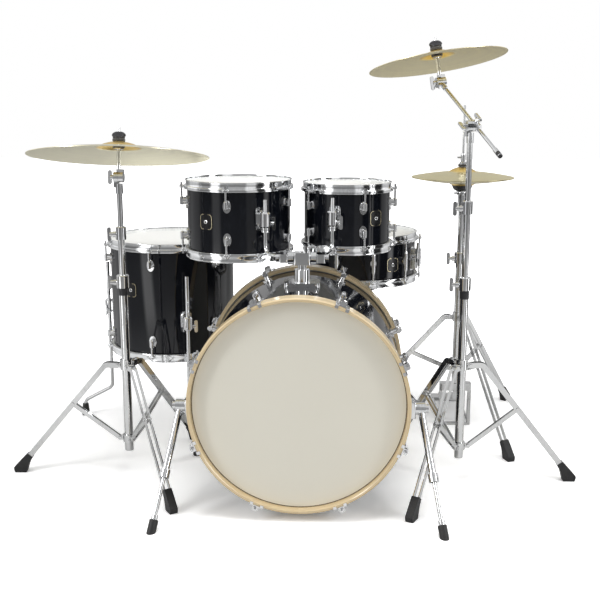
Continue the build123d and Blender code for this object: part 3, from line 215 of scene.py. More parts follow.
hoop_chrome = chrome_plate("hoop_chrome", (0.95, 0.96, 0.97), 7.0, 60.0, 0.0003, 0.14)
tube_chrome = chrome_plate("tube_chrome", (0.80, 0.808, 0.815), 9.0, 120.0, 0.0001, 0.16)
cast_chrome = chrome_plate("cast_chrome", (0.83, 0.835, 0.845), 14.0, 220.0, 0.00015, 0.2)
bar_chrome = chrome_plate("bar_chrome", (0.76, 0.765, 0.765), 11.0, 90.0, 0.0002, 0.24)
dress(hoop_chrome, "tom12_hoops", "tom10_hoops", "floor_tom_hoops", "snare_hoops")
dress(cast_chrome, "tom12_lugs", "tom10_lugs", "floor_tom_lugs", "snare_lugs", "bass_lugs",
      "bass_claws", "tom_holder_base", "tom_post", "spur_brackets", "ride_tilter",
      "crash_tilter", "boom_clamp", "strainer_lever")
dress(tube_chrome, "tom12_arm", "tom10_arm", "floor_tom_legs", "spur_left_leg",
      "spur_right_leg", "ride_mid_tube", "ride_upper_tube", "crash_mid_tube",
      "crash_upper_tube", "boom_arm", "hihat_upper_tube", "hihat_pull_rod", "snare_basket")
dress(bar_chrome, "ride_tripod", "crash_tripod", "hihat_tripod", "snare_tripod")

# ---- Bass drum hoops ----
# Seven plies of maple bent into a hoop and lacquered clear. The grain runs round the hoop, and
# the plies show as thin rings on its faces.
maple, tree, shader = finish("lacquered_maple", (0.74, 0.58, 0.34), 0.0, 0.24,
                             Coat_Weight=0.4, Coat_Roughness=0.1)
place = object_place(tree)
low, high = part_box("bass_hoops")
middle = (low + high) / 2
centred = node(tree, "ShaderNodeMapping", Vector=place, Location=-middle)
parts = node(tree, "ShaderNodeSeparateXYZ", Vector=centred.outputs["Vector"])
turn = node(tree, "ShaderNodeMath", operation="ARCTAN2")
tree.links.new(parts.outputs["X"], turn.inputs[0])
tree.links.new(parts.outputs["Z"], turn.inputs[1])
flat = node(tree, "ShaderNodeCombineXYZ", X=parts.outputs["X"], Z=parts.outputs["Z"])
reach = node(tree, "ShaderNodeVectorMath", operation="LENGTH")
tree.links.new(flat.outputs["Vector"], reach.inputs[0])
unrolled = node(tree, "ShaderNodeCombineXYZ", X=turn.outputs["Value"],
                Y=reach.outputs["Value"], Z=parts.outputs["Y"])
stretched = node(tree, "ShaderNodeMapping", Vector=unrolled.outputs["Vector"],
                 Scale=(1.6, 260.0, 120.0))
grain = node(tree, "ShaderNodeTexNoise", Vector=stretched.outputs["Vector"], Scale=1.0,
             Detail=6.0, Roughness=0.6, Distortion=0.3)
plies = node(tree, "ShaderNodeTexWave", Vector=stretched.outputs["Vector"],
             bands_direction="Y", Scale=0.55, Distortion=1.2, Detail=2.0)
pale = blended(tree, grain.outputs["Fac"], (0.66, 0.495, 0.275), (0.86, 0.72, 0.47))
shade = node(tree, "ShaderNodeMath", operation="MULTIPLY")
tree.links.new(plies.outputs["Fac"], shade.inputs[0])
shade.inputs[1].default_value = 0.22
tree.links.new(blended(tree, shade.outputs["Value"], pale, (0.60, 0.42, 0.21)),
               shader.inputs["Base Color"])
tree.links.new(spread(tree, grain.outputs["Fac"], 0.16, 0.34), shader.inputs["Roughness"])
pores = node(tree, "ShaderNodeBump", Strength=0.25, Distance=0.0002, Height=grain.outputs["Fac"])
tree.links.new(pores.outputs["Normal"], shader.inputs["Normal"])
dress(maple, "bass_hoops")

# ---- Drum heads ----
# Polyester film with a sprayed ivory coating: near even in colour with a faint cloud of tone,
# finely pebbled; its thinner, darker turn over the bearing edge is not drawn.
def coated_film(name, even, worn, rough):
    """Coated film in one tint, with its pebbled coating."""
    material, tree, shader = finish(name, even, 0.0, rough, Specular_IOR_Level=0.3)
    place = object_place(tree)
    pebbles = add_effect(tree, fine_grain, Vector=place, Scale=900.0, Depth=0.0002)
    cloud = node(tree, "ShaderNodeTexNoise", Vector=place, Scale=5.0, Detail=4.0)
    tree.links.new(blended(tree, cloud.outputs["Fac"], even, worn), shader.inputs["Base Color"])
    tree.links.new(spread(tree, pebbles.outputs["Grain"], rough - 0.08, rough + 0.1),
                   shader.inputs["Roughness"])
    tree.links.new(pebbles.outputs["Normal"], shader.inputs["Normal"])
    return material


ivory_film = coated_film("ivory_film", (0.84, 0.815, 0.715), (0.81, 0.78, 0.68), 0.55)
pale_film = coated_film("pale_film", (0.88, 0.88, 0.85), (0.85, 0.85, 0.82), 0.5)
dress(ivory_film, "bass_front_head", "bass_batter_head")
dress(pale_film, "tom12_heads", "tom10_heads", "floor_tom_heads", "snare_heads")


# A thin dark brown ring just inside the bass drum's front maple hoop is painted shadow: it stands
# for the shade that falls between the hoop and the head.
def keep(piece, body, material=None):
    """Last step for a piece: its finish, smooth shading, and the body it rides on."""
    if material:
        piece.data.materials.clear()
        piece.data.materials.append(material)
    piece.data.polygons.foreach_set("use_smooth", [True] * len(piece.data.polygons))
    piece.data.set_sharp_from_angle(angle=radians(38))
    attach(piece, body)
    return piece


def as_piece(name, build, place=None):
    """A named object from a bmesh, moved into its place, with its faces outward."""
    if place:
        bmesh.ops.transform(build, matrix=place, verts=build.verts)
    bmesh.ops.remove_doubles(build, verts=build.verts, dist=1e-6)
    bmesh.ops.recalc_face_normals(build, faces=build.faces)
    mesh = bpy.data.meshes.new(name)
    build.to_mesh(mesh)
    build.free()
    piece = bpy.data.objects.new(name, mesh)
    bpy.context.scene.collection.objects.link(piece)
    return piece


def lathe(build, outline, turns=96):
    """Turns a closed outline of (radius, height) points about Z into the bmesh."""
    rings = []
    for radius, height in outline:
        if radius < 1e-7:
            rings.append([build.verts.new((0, 0, height))] * turns)
        else:
            rings.append([build.verts.new((radius * cos(2 * pi * k / turns),
                                           radius * sin(2 * pi * k / turns), height))
                          for k in range(turns)])
    for near, far in zip(rings, rings[1:] + rings[:1]):
        for k in range(turns):
            corners = []
            for vert in (near[k], near[(k + 1) % turns], far[(k + 1) % turns], far[k]):
                if vert not in corners:
                    corners.append(vert)
            if len(corners) > 2:
                build.faces.new(corners)


def lathed_piece(name, outline, place, turns=96):
    build = bmesh.new()
    lathe(build, outline, turns)
    return as_piece(name, build, place)


# Painted shadow: a thin dark brown ring laid on the front head just inside its hoop, for the shade
# between hoop and head.
ring_brown, tree, shader = finish("ring_brown", (0.17, 0.12, 0.06), 0.0, 0.45)
place = object_place(tree)
marks = add_effect(tree, wipe_marks, Vector=place, Scale=20.0, Sharpness=0.2)
tree.links.new(spread(tree, marks.outputs["Marks"], 0.25, 0.5), shader.inputs["Roughness"])
tree.links.new(blended(tree, marks.outputs["Marks"], (0.12, 0.085, 0.04), (0.22, 0.165, 0.09)),
               shader.inputs["Base Color"])
low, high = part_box("bass_front_head")
head_radius = (high.x - low.x) / 2
toward_audience = Matrix.Translation((low + high) / 2) @ Matrix.Rotation(radians(90), 4, "X")
lift = (high.y - low.y) / 2
ring = [(head_radius - 0.0014 + 0.0012 * cos(a), lift - 0.0006 + 0.0014 * sin(a))
        for a in (2 * pi * k / 12 for k in range(12))]
keep(lathed_piece("front_head_ring", ring, toward_audience, 256), "bass_drum",
     ring_brown)


# ---- Cymbals ----
# Cast bronze, spun and lathed: fine grooves run round every face, and the bell is polished
# brighter and yellower than the bow. Both faces share one colour, so a paler underside is not
# drawn.
def arc_through(first, via, last, steps):
    """Points of the circular arc through three points of (radius, height)."""
    (ax, ay), (bx, by), (cx, cy) = first, via, last
    d = 2 * (ax * (by - cy) + bx * (cy - ay) + cx * (ay - by))
    ux = ((ax * ax + ay * ay) * (by - cy) + (bx * bx + by * by) * (cy - ay)
          + (cx * cx + cy * cy) * (ay - by)) / d
    uy = ((ax * ax + ay * ay) * (cx - bx) + (bx * bx + by * by) * (ax - cx)
          + (cx * cx + cy * cy) * (bx - ax)) / d
    start = atan2(ay - uy, ax - ux)
    end = atan2(cy - uy, cx - ux)
    radius = sqrt((ax - ux) ** 2 + (ay - uy) ** 2)
    return [(ux + radius * cos(start + (end - start) * k / steps),
             uy + radius * sin(start + (end - start) * k / steps)) for k in range(steps + 1)]


def cymbal(name, radius, bow, bell, bell_radius, place):
    """A cymbal with its rim at the place's z 0; it keeps each point's distance from its axis."""
    hole = 0.0064
    sheet = 0.0014
    face = arc_through((radius, 0), (0.62 * radius, 0.63 * bow), (bell_radius, bow), 22)
    face += arc_through((bell_radius, bow), (0.6 * bell_radius, bow + 0.68 * bell),
                        (hole, bow + bell), 14)[1:]
    under = [(r, z) for r, z in face]
    over = [(r, z + sheet) for r, z in reversed(face)]
    piece = lathed_piece(name, under + over, place, 192)
    axis = place.to_3x3() @ Vector((0, 0, 1))
    reach = piece.data.attributes.new("reach", "FLOAT", "POINT")
    reach.data.foreach_set("value", [((v.co - place.translation)
                                      - axis * (v.co - place.translation).dot(axis)).length
                                     for v in piece.data.vertices])
    return piece


def lathed_bronze(name, bell_radius, bow_colour, bell_colour, rough):
    """Bronze with lathe grooves about the cymbal's own axis and a brighter bell."""
    material, tree, shader = finish(name, bow_colour, 0.84, rough, Anisotropic=0.35)
    reach = node(tree, "ShaderNodeAttribute", attribute_name="reach")
    along = node(tree, "ShaderNodeCombineXYZ", X=reach.outputs["Fac"])
    grooves = node(tree, "ShaderNodeTexNoise", Vector=along.outputs["Vector"], Scale=900.0,
                   Detail=2.0, Roughness=0.7)
    bands = node(tree, "ShaderNodeTexNoise", Vector=along.outputs["Vector"], Scale=70.0,
                 Detail=3.0)
    place = object_place(tree)
    marks = add_effect(tree, wipe_marks, Vector=place, Scale=6.0, Sharpness=0.22)
    bell = node(tree, "ShaderNodeMapRange", Value=reach.outputs["Fac"],
                interpolation_type="SMOOTHSTEP", From_Min=bell_radius + 0.003,
                From_Max=bell_radius - 0.006)
    bow = blended(tree, bands.outputs["Fac"], tuple(c * 0.90 for c in bow_colour),
                  tuple(min(1.0, c * 1.1) for c in bow_colour))
    both = blended(tree, bell.outputs["Result"], bow, bell_colour)
    tree.links.new(blended(tree, spread(tree, marks.outputs["Marks"], 0.0, 0.35), both,
                           tuple(c * 0.84 for c in bow_colour)), shader.inputs["Base Color"])
    rougher = node(tree, "ShaderNodeMath", operation="MULTIPLY_ADD")
    tree.links.new(bands.outputs["Fac"], rougher.inputs[0])
    rougher.inputs[1].default_value = 0.16
    rougher.inputs[2].default_value = rough - 0.08
    tree.links.new(rougher.outputs["Value"], shader.inputs["Roughness"])
    cut = node(tree, "ShaderNodeBump", Strength=0.35, Distance=0.00025,
               Height=grooves.outputs["Fac"])
    dents = node(tree, "ShaderNodeTexVoronoi", Vector=place, Scale=60.0, feature="SMOOTH_F1")
    hammered = node(tree, "ShaderNodeBump", Strength=0.18, Distance=0.0012,
                    Height=dents.outputs["Distance"], Normal=cut.outputs["Normal"])
    tree.links.new(hammered.outputs["Normal"], shader.inputs["Normal"])
    return material


def stood(origin, up, across):
    """The place whose Z is up and whose X lies across."""
    z = Vector(up).normalized()
    x = Vector(across)
    x = (x - z * x.dot(z)).normalized()
    turned = Matrix((x, z.cross(x), z)).transposed().to_4x4()
    return Matrix.Translation(Vector(origin)) @ turned


rim_lift = 0.057
ride_place = stood(pivot["ride_spin"]["pos_m"], pivot["ride_spin"]["axis"], (1, 0, 0))
crash_place = stood(pivot["crash_spin"]["pos_m"], pivot["crash_spin"]["axis"],
                    pivot["crash_tilt"]["axis"])
low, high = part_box("hihat_top_cymbal")
hat_rim = Vector(((low.x + high.x) / 2, (low.y + high.y) / 2, low.z))
low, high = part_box("hihat_bottom_cymbal")
hat_under = Vector((hat_rim.x, hat_rim.y, high.z))
gold = (0.90, 0.64, 0.20)
for name, size, bell_radius, tint, place, body in (
        ("ride_cymbal", (0.254, 0.024, 0.017), 0.064, (0.95, 0.88, 0.66),
         ride_place @ Matrix.Translation((0, 0, rim_lift)), "ride_cymbal"),
        ("crash_cymbal", (0.2032, 0.019, 0.016), 0.052, (0.96, 0.84, 0.54),
         crash_place @ Matrix.Translation((0, 0, rim_lift)), "crash_cymbal"),
        ("hihat_top_cymbal", (0.165, 0.017, 0.015), 0.045, (0.96, 0.84, 0.50),
         Matrix.Translation(hat_rim), "hihat_rod"),
        ("hihat_bottom_cymbal", (0.165, 0.017, 0.015), 0.045, (0.95, 0.84, 0.55),
         Matrix.Translation(hat_under) @ Matrix.Rotation(pi, 4, "X"), "hihat_upper")):
    piece = cymbal("spun_" + name, *size, bell_radius, place)
    bronze = lathed_bronze("bronze_" + name, bell_radius, tint, gold, 0.3)
    keep(piece, body, bronze)
    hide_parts(name)

# ---- Felts and wing nuts ----
# Pressed wool felt cushions the bell on both sides. Above it a moulded black nut with two
# broad ears threads onto the stem and traps the cymbal loosely.
felt, tree, shader = finish("wool_felt", (0.03, 0.029, 0.028), 0.0, 0.95, Sheen_Weight=0.4,
                            Sheen_Roughness=0.6)
place = object_place(tree)
fibres = add_effect(tree, fine_grain, Vector=place, Scale=1400.0, Depth=0.0012)
tree.links.new(blended(tree, fibres.outputs["Grain"], (0.015, 0.015, 0.015),
                       (0.06, 0.058, 0.056)), shader.inputs["Base Color"])
tree.links.new(fibres.outputs["Normal"], shader.inputs["Normal"])
moulded, tree, shader = finish("moulded_black", (0.018, 0.018, 0.02), 0.0, 0.42)
place = object_place(tree)
grain = add_effect(tree, fine_grain, Vector=place, Scale=1500.0, Depth=0.0002)
marks = add_effect(tree, wipe_marks, Vector=place, Scale=25.0, Sharpness=0.2)
tree.links.new(spread(tree, marks.outputs["Marks"], 0.34, 0.55), shader.inputs["Roughness"])
tree.links.new(blended(tree, grain.outputs["Grain"], (0.014, 0.014, 0.016),
                       (0.03, 0.03, 0.033)), shader.inputs["Base Color"])
tree.links.new(grain.outputs["Normal"], shader.inputs["Normal"])


def rounded_washer(bore, radius, low, high, edge):
    """Outline of a thick washer with rounded outer edges."""
    outline = [(bore, low)]
    outline += [(radius - edge + edge * sin(a), low + edge - edge * cos(a))
                for a in (pi / 2 * k / 5 for k in range(6))]
    outline += [(radius - edge + edge * cos(a), high - edge + edge * sin(a))
                for a in (pi / 2 * k / 5 for k in range(6))]
    return outline + [(bore, high)]


def wing_nut(name, place, base):
    """A moulded nut: a domed cap that swells into two ears, with a thin lip at its foot."""
    build = bmesh.new()
    cap = [(0.0042, base), (0.0165, base), (0.0172, base + 0.0020), (0.0168, base + 0.0048)]
    cap += [(0.0042 + 0.0132 * cos(a), base + 0.0062 + 0.0125 * sin(a))
            for a in (pi / 2 * k / 8 for k in range(9))]
    lathe(build, cap, 48)
    for vert in build.verts:
        swell = min(1.0, max(0.0, (vert.co.z - base - 0.004) / 0.004))
        vert.co.x *= 1.0 + 0.17 * swell
        vert.co.y *= 1.0 - 0.28 * swell
    return as_piece(name, build, place)


for name, place, bell_top, body in (
        ("ride", ride_place, 0.041, "ride_tilter"), ("crash", crash_place, 0.035, "crash_tilter")):
    low = rim_lift + bell_top
    top = low + 0.0014 + 0.0003
    under = lathed_piece(name + "_lower_felt",
                         rounded_washer(0.0042, 0.0165, low - 0.0168, low - 0.0011, 0.003), place)
    keep(under, body, felt)
    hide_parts(name + "_cymbal_nut")
    upper = lathed_piece(name + "_upper_felt",
                         rounded_washer(0.0042, 0.0180, top, top + 0.009, 0.0026), place)
    keep(upper, body, felt)
    keep(wing_nut(name + "_wing_nut", place, top + 0.0094), body, moulded)

# ---- Black trim of the stands ----
# A plain black band under each stand's lowest clamp, a moulded cup that the lower hi-hat's bell
# sits in, the felt under the hi-hat's clutch, and a rubber tip on the boom.
for name, spot, low, high in (("ride", ride_place.translation, 0.543, 0.566),
                              ("crash", Vector(pivot["boom_tilt"]["pos_m"]), 0.545, 0.571)):
    spot = Matrix.Translation((spot.x, spot.y, 0))
    keep(lathed_piece(name + "_band", rounded_washer(0.0127, 0.0136, low, high, 0.0004), spot, 64),
         "bass_drum", moulded)
low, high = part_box("hihat_top_cymbal")
clutch_place = Matrix.Translation((hat_rim.x, hat_rim.y, high.z + 0.0003))
keep(lathed_piece("hihat_clutch_felt", rounded_washer(0.0045, 0.0156, 0.0, 0.0092, 0.0026),
                  clutch_place, 64), "hihat_rod", felt)
bottom = Matrix.Translation(hat_under)
cup = [(0.0300, -0.0265), (0.0325, -0.0250), (0.0335, -0.0262), (0.0300, -0.0360),
       (0.0235, -0.0425), (0.0170, -0.0440), (0.0135, -0.0440), (0.0135, -0.0385),
       (0.0225, -0.0355)]
keep(lathed_piece("hihat_seat_cup", cup, bottom, 64), "hihat_upper", moulded)
boom_way = Vector(pivot["boom_slide"]["axis"])
if boom_way.z < 0:
    boom_way = -boom_way
boom_length = 0.434
boom_tip = Vector(pivot["crash_tilt"]["pos_m"]) - boom_way * boom_length
tip_place = stood(boom_tip, boom_way, (1, 0, 0))
tip = [(0.0, -0.0035), (0.0040, -0.0030), (0.0062, -0.0010), (0.0066, 0.004), (0.0066, 0.017),
       (0.0060, 0.0185), (0.0051, 0.0185), (0.0051, 0.0)]
keep(lathed_piece("boom_tip", tip, tip_place, 40), "boom_arm", moulded)

# ---- Rubber feet ----
# Every leg ends in a moulded boot of black rubber with well rounded edges.
rubber, tree, shader = finish("black_rubber", (0.014, 0.014, 0.015), 0.0, 0.5)
place = object_place(tree)
grain = add_effect(tree, fine_grain, Vector=place, Scale=900.0, Depth=0.0004)
dust = add_effect(tree, wipe_marks, Vector=place, Scale=18.0, Sharpness=0.18)
tree.links.new(blended(tree, dust.outputs["Marks"], (0.012, 0.012, 0.013),
                       (0.035, 0.034, 0.033)), shader.inputs["Base Color"])
tree.links.new(spread(tree, dust.outputs["Marks"], 0.42, 0.7), shader.inputs["Roughness"])
tree.links.new(grain.outputs["Normal"], shader.inputs["Normal"])
dress(rubber, "rubber_feet", "spur_left_foot", "spur_right_foot")

# ---- Rounded edges ----
# Moulded boots are well rounded. Pressed hoops and castings have their edges broken before they
# are plated, and the bright lines along them come from that.
for rounding, names in (
        (0.0055, ("rubber_feet",)),
        (0.0040, ("spur_left_foot", "spur_right_foot")),
        (0.0007, ("tom12_hoops", "tom10_hoops", "floor_tom_hoops", "snare_hoops")),
        (0.0006, ("tom_post", "tom12_arm", "tom10_arm", "tom_holder_base", "spur_brackets")),
        (0.0005, ("bass_claws",))):
    for name in names:
        weld = kit[name].modifiers.new("weld", "WELD")
        weld.merge_threshold = 1e-5
        bevel = kit[name].modifiers.new("rounding", "BEVEL")
        bevel.width = rounding
        bevel.segments = 4
        bevel.limit_method = "ANGLE"
        bevel.angle_limit = radians(28)

# ---- Pedals and snare wires ----
# Footboards, the bass pedal's frame and its beater's hub are cast aluminium, tumbled rather
# than plated. The snare wires are coils of bright steel, and the beater's head is hard felt.
cast_alloy, tree, shader = finish("cast_alloy", (0.50, 0.505, 0.51), 1.0, 0.34)
place = object_place(tree)
skin = add_effect(tree, fine_grain, Vector=place, Scale=420.0, Depth=0.0004)
scuffs = add_effect(tree, wipe_marks, Vector=place, Scale=12.0, Sharpness=0.18)
tree.links.new(blended(tree, scuffs.outputs["Marks"], (0.56, 0.565, 0.57), (0.40, 0.40, 0.405)),
               shader.inputs["Base Color"])
tree.links.new(spread(tree, scuffs.outputs["Marks"], 0.28, 0.48), shader.inputs["Roughness"])
tree.links.new(skin.outputs["Normal"], shader.inputs["Normal"])
dress(cast_alloy, "hihat_footboard", "pedal_footboard", "pedal_frame", "pedal_beater")
steel_wire, tree, shader = finish("steel_wire", (0.66, 0.67, 0.69), 1.0, 0.28)
place = object_place(tree)
drawn = add_effect(tree, wipe_marks, Vector=place, Scale=30.0, Sharpness=0.2)
tree.links.new(spread(tree, drawn.outputs["Marks"], 0.2, 0.4), shader.inputs["Roughness"])


def grown(name, group, shape, **values):
    """Runs a geometry node group on a mesh and keeps what it makes as a plain object."""
    base = bpy.data.objects.new(name, shape)
    bpy.context.scene.collection.objects.link(base)
    grower = base.modifiers.new("grower", "NODES")
    grower.node_group = group
    for socket in group.interface.items_tree:
        value = values.get(socket.name.replace(" ", "_"))
        if value is not None:
            grower[socket.identifier] = value
    bpy.context.view_layer.update()
    ready = base.evaluated_get(bpy.context.evaluated_depsgraph_get())
    made = bpy.data.meshes.new_from_object(ready)
    base.modifiers.remove(grower)
    base.data = made
    return base


def grower(name, *inputs):
    """An empty geometry node group with its named inputs, and its input node."""
    group = bpy.data.node_groups.new(name, "GeometryNodeTree")
    for label, kind in inputs:
        group.interface.new_socket(label, in_out="INPUT", socket_type="NodeSocket" + kind)
    group.interface.new_socket("Geometry", in_out="OUTPUT", socket_type="NodeSocketGeometry")
    return group, group.nodes.new("NodeGroupInput").outputs


def moved(piece, place):
    """Puts a grown piece in its place, in its mesh."""
    piece.data.transform(place)
    return piece


# Coil: a fine wire wound into a long open spring along Z.
coil, given = grower("coil", ("Length", "Float"), ("Turns", "Float"), ("Coil Radius", "Float"),
                     ("Wire Radius", "Float"))
winding = node(coil, "GeometryNodeCurveSpiral", Resolution=6, Rotations=given["Turns"],
               Start_Radius=given["Coil Radius"], End_Radius=given["Coil Radius"],
               Height=given["Length"])
gauge = node(coil, "GeometryNodeCurvePrimitiveCircle", Resolution=3, Radius=given["Wire Radius"])
wound = node(coil, "GeometryNodeCurveToMesh", Curve=winding.outputs["Curve"],
             Profile_Curve=gauge.outputs["Curve"], Fill_Caps=True)
coil.links.new(wound.outputs["Mesh"], coil.nodes.new("NodeGroupOutput").inputs["Geometry"])

# Row of copies: one shape, repeated a number of times at a step.
row_of_copies, given = grower("row_of_copies", ("Geometry", "Geometry"), ("Count", "Int"),
                              ("Step", "Vector"), ("Finish", "Material"))
line = node(row_of_copies, "GeometryNodeMeshLine", Count=given["Count"], Offset=given["Step"])
copies = node(row_of_copies, "GeometryNodeInstanceOnPoints", Points=line.outputs["Mesh"],
              Instance=given["Geometry"])
solid = node(row_of_copies, "GeometryNodeRealizeInstances", Geometry=copies.outputs["Instances"])
dressed = node(row_of_copies, "GeometryNodeSetMaterial", Geometry=solid.outputs["Geometry"],
               Material=given["Finish"])
row_of_copies.links.new(dressed.outputs["Geometry"],
                        row_of_copies.nodes.new("NodeGroupOutput").inputs["Geometry"])

# Twenty coils lie side by side under the snare side head, soldered to a flat plate at each end.
wire_count = 20
wire_pitch = 0.0022
wire_length = 0.312
low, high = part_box("snare_wires")
wires_middle = (low + high) / 2
along = Vector(pivot["strainer_throw"]["pos_m"]) - wires_middle
along.z = 0
wires_place = stood(wires_middle, along, (0, 0, 1))
one = grown("one_coil", coil, bpy.data.meshes.new("one_coil"), Length=wire_length, Turns=110.0,
            Coil_Radius=0.0005, Wire_Radius=0.0002)
coils = grown("snare_coils", row_of_copies, one.data, Count=wire_count,
              Step=(0.0, wire_pitch, 0.0), Finish=steel_wire)
bpy.data.objects.remove(one)
first = Matrix.Translation((0, -(wire_count - 1) / 2 * wire_pitch, -wire_length / 2))
keep(moved(coils, wires_place @ first), "snare")
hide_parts("snare_wires")
build = bmesh.new()
for end in (-1, 1):
    plate = Matrix.Translation((0, 0, end * wire_length / 2)) @ Matrix.Diagonal(
        (0.0013, wire_count * wire_pitch + 0.0038, 0.0118, 1))
    bmesh.ops.create_cube(build, size=1.0, matrix=plate)
bmesh.ops.bevel(build, geom=build.edges[:], offset=0.00045, segments=2, affect="EDGES")
keep(as_piece("snare_wire_plates", build, wires_place), "snare", steel_wire)

# Rounded ribs across each footboard keep a shoe from slipping. The first and the last rib are
# given as shares of the board's length from its hinge.
rib_step = 0.011
first_rib, last_rib = 0.2, 0.86
rib_height = 0.0048
for board, hinge, body in (("hihat_footboard", "hihat_pedal", "hihat_footboard"),
                           ("pedal_footboard", "bass_pedal", "pedal_footboard")):
    low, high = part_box(board)
    pin = Vector(pivot[hinge]["pos_m"])
    run = Vector((0, low.y - pin.y, high.z - 0.0049 - pin.z))
    rib_count = int((last_rib - first_rib) * run.length / rib_step)
    build = bmesh.new()
    lathe(build, [(0, -0.0265), (0.0010, -0.0261), (0.0014, -0.0250), (0.0014, 0.0250),
                  (0.0010, 0.0261), (0, 0.0265)], 12)
    rib = as_piece("one_rib", build)
    ribs = grown(board + "_ribs", row_of_copies, rib.data, Count=rib_count,
                 Step=(0.0, rib_step, 0.0), Finish=cast_alloy)
    bpy.data.objects.remove(rib)
    above = Vector((0, run.z, -run.y)).normalized()
    ribs_place = Matrix((above, run.normalized(), Vector((1, 0, 0)))).transposed().to_4x4()
    ribs_place.translation = pin + run * first_rib + above * rib_height
    keep(moved(ribs, ribs_place), body)

# The bass pedal's beater is a drum of hard felt on its shaft.
beater_lean = radians(20)
beater_reach = 0.150
beater_axle = Vector(pivot["beater_swing"]["pos_m"])
beater_head = beater_axle + Vector((0, sin(beater_lean), cos(beater_lean))) * beater_reach
felt_place = stood(beater_head, (1, 0, 0), (0, 1, 0))
keep(lathed_piece("beater_felt",
                  [(0, -0.0202), (0.0215, -0.0202), (0.0232, -0.0196), (0.0241, -0.0180),
                   (0.0241, 0.0180), (0.0232, 0.0196), (0.0215, 0.0202), (0, 0.0202)],
                  felt_place, 64), "pedal_beater", felt)

# ---- Badges and vents ----
# Each wrapped shell but the bass drum has a black enamelled plate bent to its curve, edged
# with a thin pale gold line, and held by the grommet that lines the shell's air vent.
enamel, tree, shader = finish("badge_enamel", (0.012, 0.012, 0.013), 0.0, 0.25)
place = object_place(tree)
marks = add_effect(tree, wipe_marks, Vector=place, Scale=40.0, Sharpness=0.2)
tree.links.new(spread(tree, marks.outputs["Marks"], 0.18, 0.4), shader.inputs["Roughness"])
gold_line, tree, shader = finish("gold_line", (0.80, 0.70, 0.46), 0.9, 0.3)
place = object_place(tree)
marks = add_effect(tree, wipe_marks, Vector=place, Scale=60.0, Sharpness=0.2)
tree.links.new(spread(tree, marks.outputs["Marks"], 0.22, 0.45), shader.inputs["Roughness"])
badge_size = (0.046, 0.048)
badge_corner = 0.012
badge_back, badge_face = 0.0001, 0.0012
badge_steps = 16
line_back, line_face = 0.0011, 0.0014


def rounded_outline(inset, per_corner):
    """Points of the badge's rounded outline, moved in from its edge."""
    half_w, half_h = badge_size[0] / 2 - inset, badge_size[1] / 2 - inset
    corner = badge_corner - inset
    points = []
    for quarter, (side, end) in enumerate(((1, 1), (-1, 1), (-1, -1), (1, -1))):
        for k in range(per_corner + 1):
            a = pi / 2 * (quarter + k / per_corner)
            points.append((side * (half_w - corner) + corner * cos(a),
                           end * (half_h - corner) + corner * sin(a)))
    return points


def on_shell(middle, radius, bearing, across, up, out):
    """A point of the shell's outside, across and up from a bearing, and out from its face."""
    turn = bearing + across / radius
    return middle + Vector(((radius + out) * cos(turn), (radius + out) * sin(turn), up))


def banded_loop(build, sections):
    """Joins equal closed rows of points into a band, and the last row to the first."""
    rows = [[build.verts.new(point) for point in row] for row in sections]
    for near, far in zip(rows, rows[1:] + rows[:1]):
        for k in range(len(near)):
            ahead = (k + 1) % len(near)
            build.faces.new((near[k], near[ahead], far[ahead], far[k]))


for drum, bearing, lift in (
        ("tom12", -122, 0.001), ("tom10", -49, 0.003), ("floor_tom", -121, 0.039),
        ("snare", -57, -0.010)):
    low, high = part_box(drum + "_shell")
    middle = (low + high) / 2 + Vector((0, 0, lift))
    radius = (high.x - low.x) / 2
    turned = radians(bearing)

    def at(point, out):
        return on_shell(middle, radius, turned, *point, out)

    build = bmesh.new()
    columns = []
    for k in range(badge_steps + 1):
        across = badge_size[0] * (k / badge_steps - 0.5)
        past = max(0.0, abs(across) - badge_size[0] / 2 + badge_corner)
        rise = sqrt(badge_corner ** 2 - min(past, badge_corner) ** 2)
        half = badge_size[1] / 2 - badge_corner + rise
        columns.append([build.verts.new(at((across, end * half), out))
                        for end, out in ((-1, badge_back), (1, badge_back), (1, badge_face),
                                         (-1, badge_face))])
    for near, far in zip(columns, columns[1:]):
        for k in range(4):
            build.faces.new((near[k], near[(k + 1) % 4], far[(k + 1) % 4], far[k]))
    build.faces.new(columns[0])
    build.faces.new(columns[-1])
    keep(as_piece(drum + "_badge", build), drum, enamel)
    build = bmesh.new()
    outer, inner = rounded_outline(0.0022, 7), rounded_outline(0.0036, 7)
    banded_loop(build, [[at(point, out) for point in points]
                        for points, out in ((outer, line_back), (outer, line_face),
                                            (inner, line_face), (inner, line_back))])
    keep(as_piece(drum + "_badge_line", build), drum, gold_line)
    outward = stood(at((0, 0), 0.0), (cos(turned), sin(turned), 0), (0, 0, 1))
    grommet = lathed_piece(drum + "_vent", [(0.0030, 0.0), (0.0062, 0.0), (0.0062, 0.0016),
                                            (0.0055, 0.0026), (0.0042, 0.0029), (0.0032, 0.0022)],
                           outward, 40)
    keep(grommet, drum, hoop_chrome)

# ---- Studio ----
# A white cove lit by two tall soft boxes and a wide one overhead. What gloss black and chrome
# mirror is a ring of white panels with dark gaps between them, the widest behind the camera.
def direct_light(tree, direct, other):
    """One value where the camera looks straight at a thing, another for its light and mirrors."""
    seen = node(tree, "ShaderNodeLightPath")
    straight = node(tree, "ShaderNodeMath", operation="MAXIMUM")
    tree.links.new(seen.outputs["Is Camera Ray"], straight.inputs[0])
    tree.links.new(seen.outputs["Is Transmission Ray"], straight.inputs[1])
    mix = node(tree, "ShaderNodeMix")
    tree.links.new(straight.outputs["Value"], mix.inputs["Factor"])
    for socket, value in ((mix.inputs["B"], direct), (mix.inputs["A"], other)):
        if isinstance(value, bpy.types.NodeSocket):
            tree.links.new(value, socket)
        else:
            socket.default_value = value
    return mix.outputs["Result"], seen


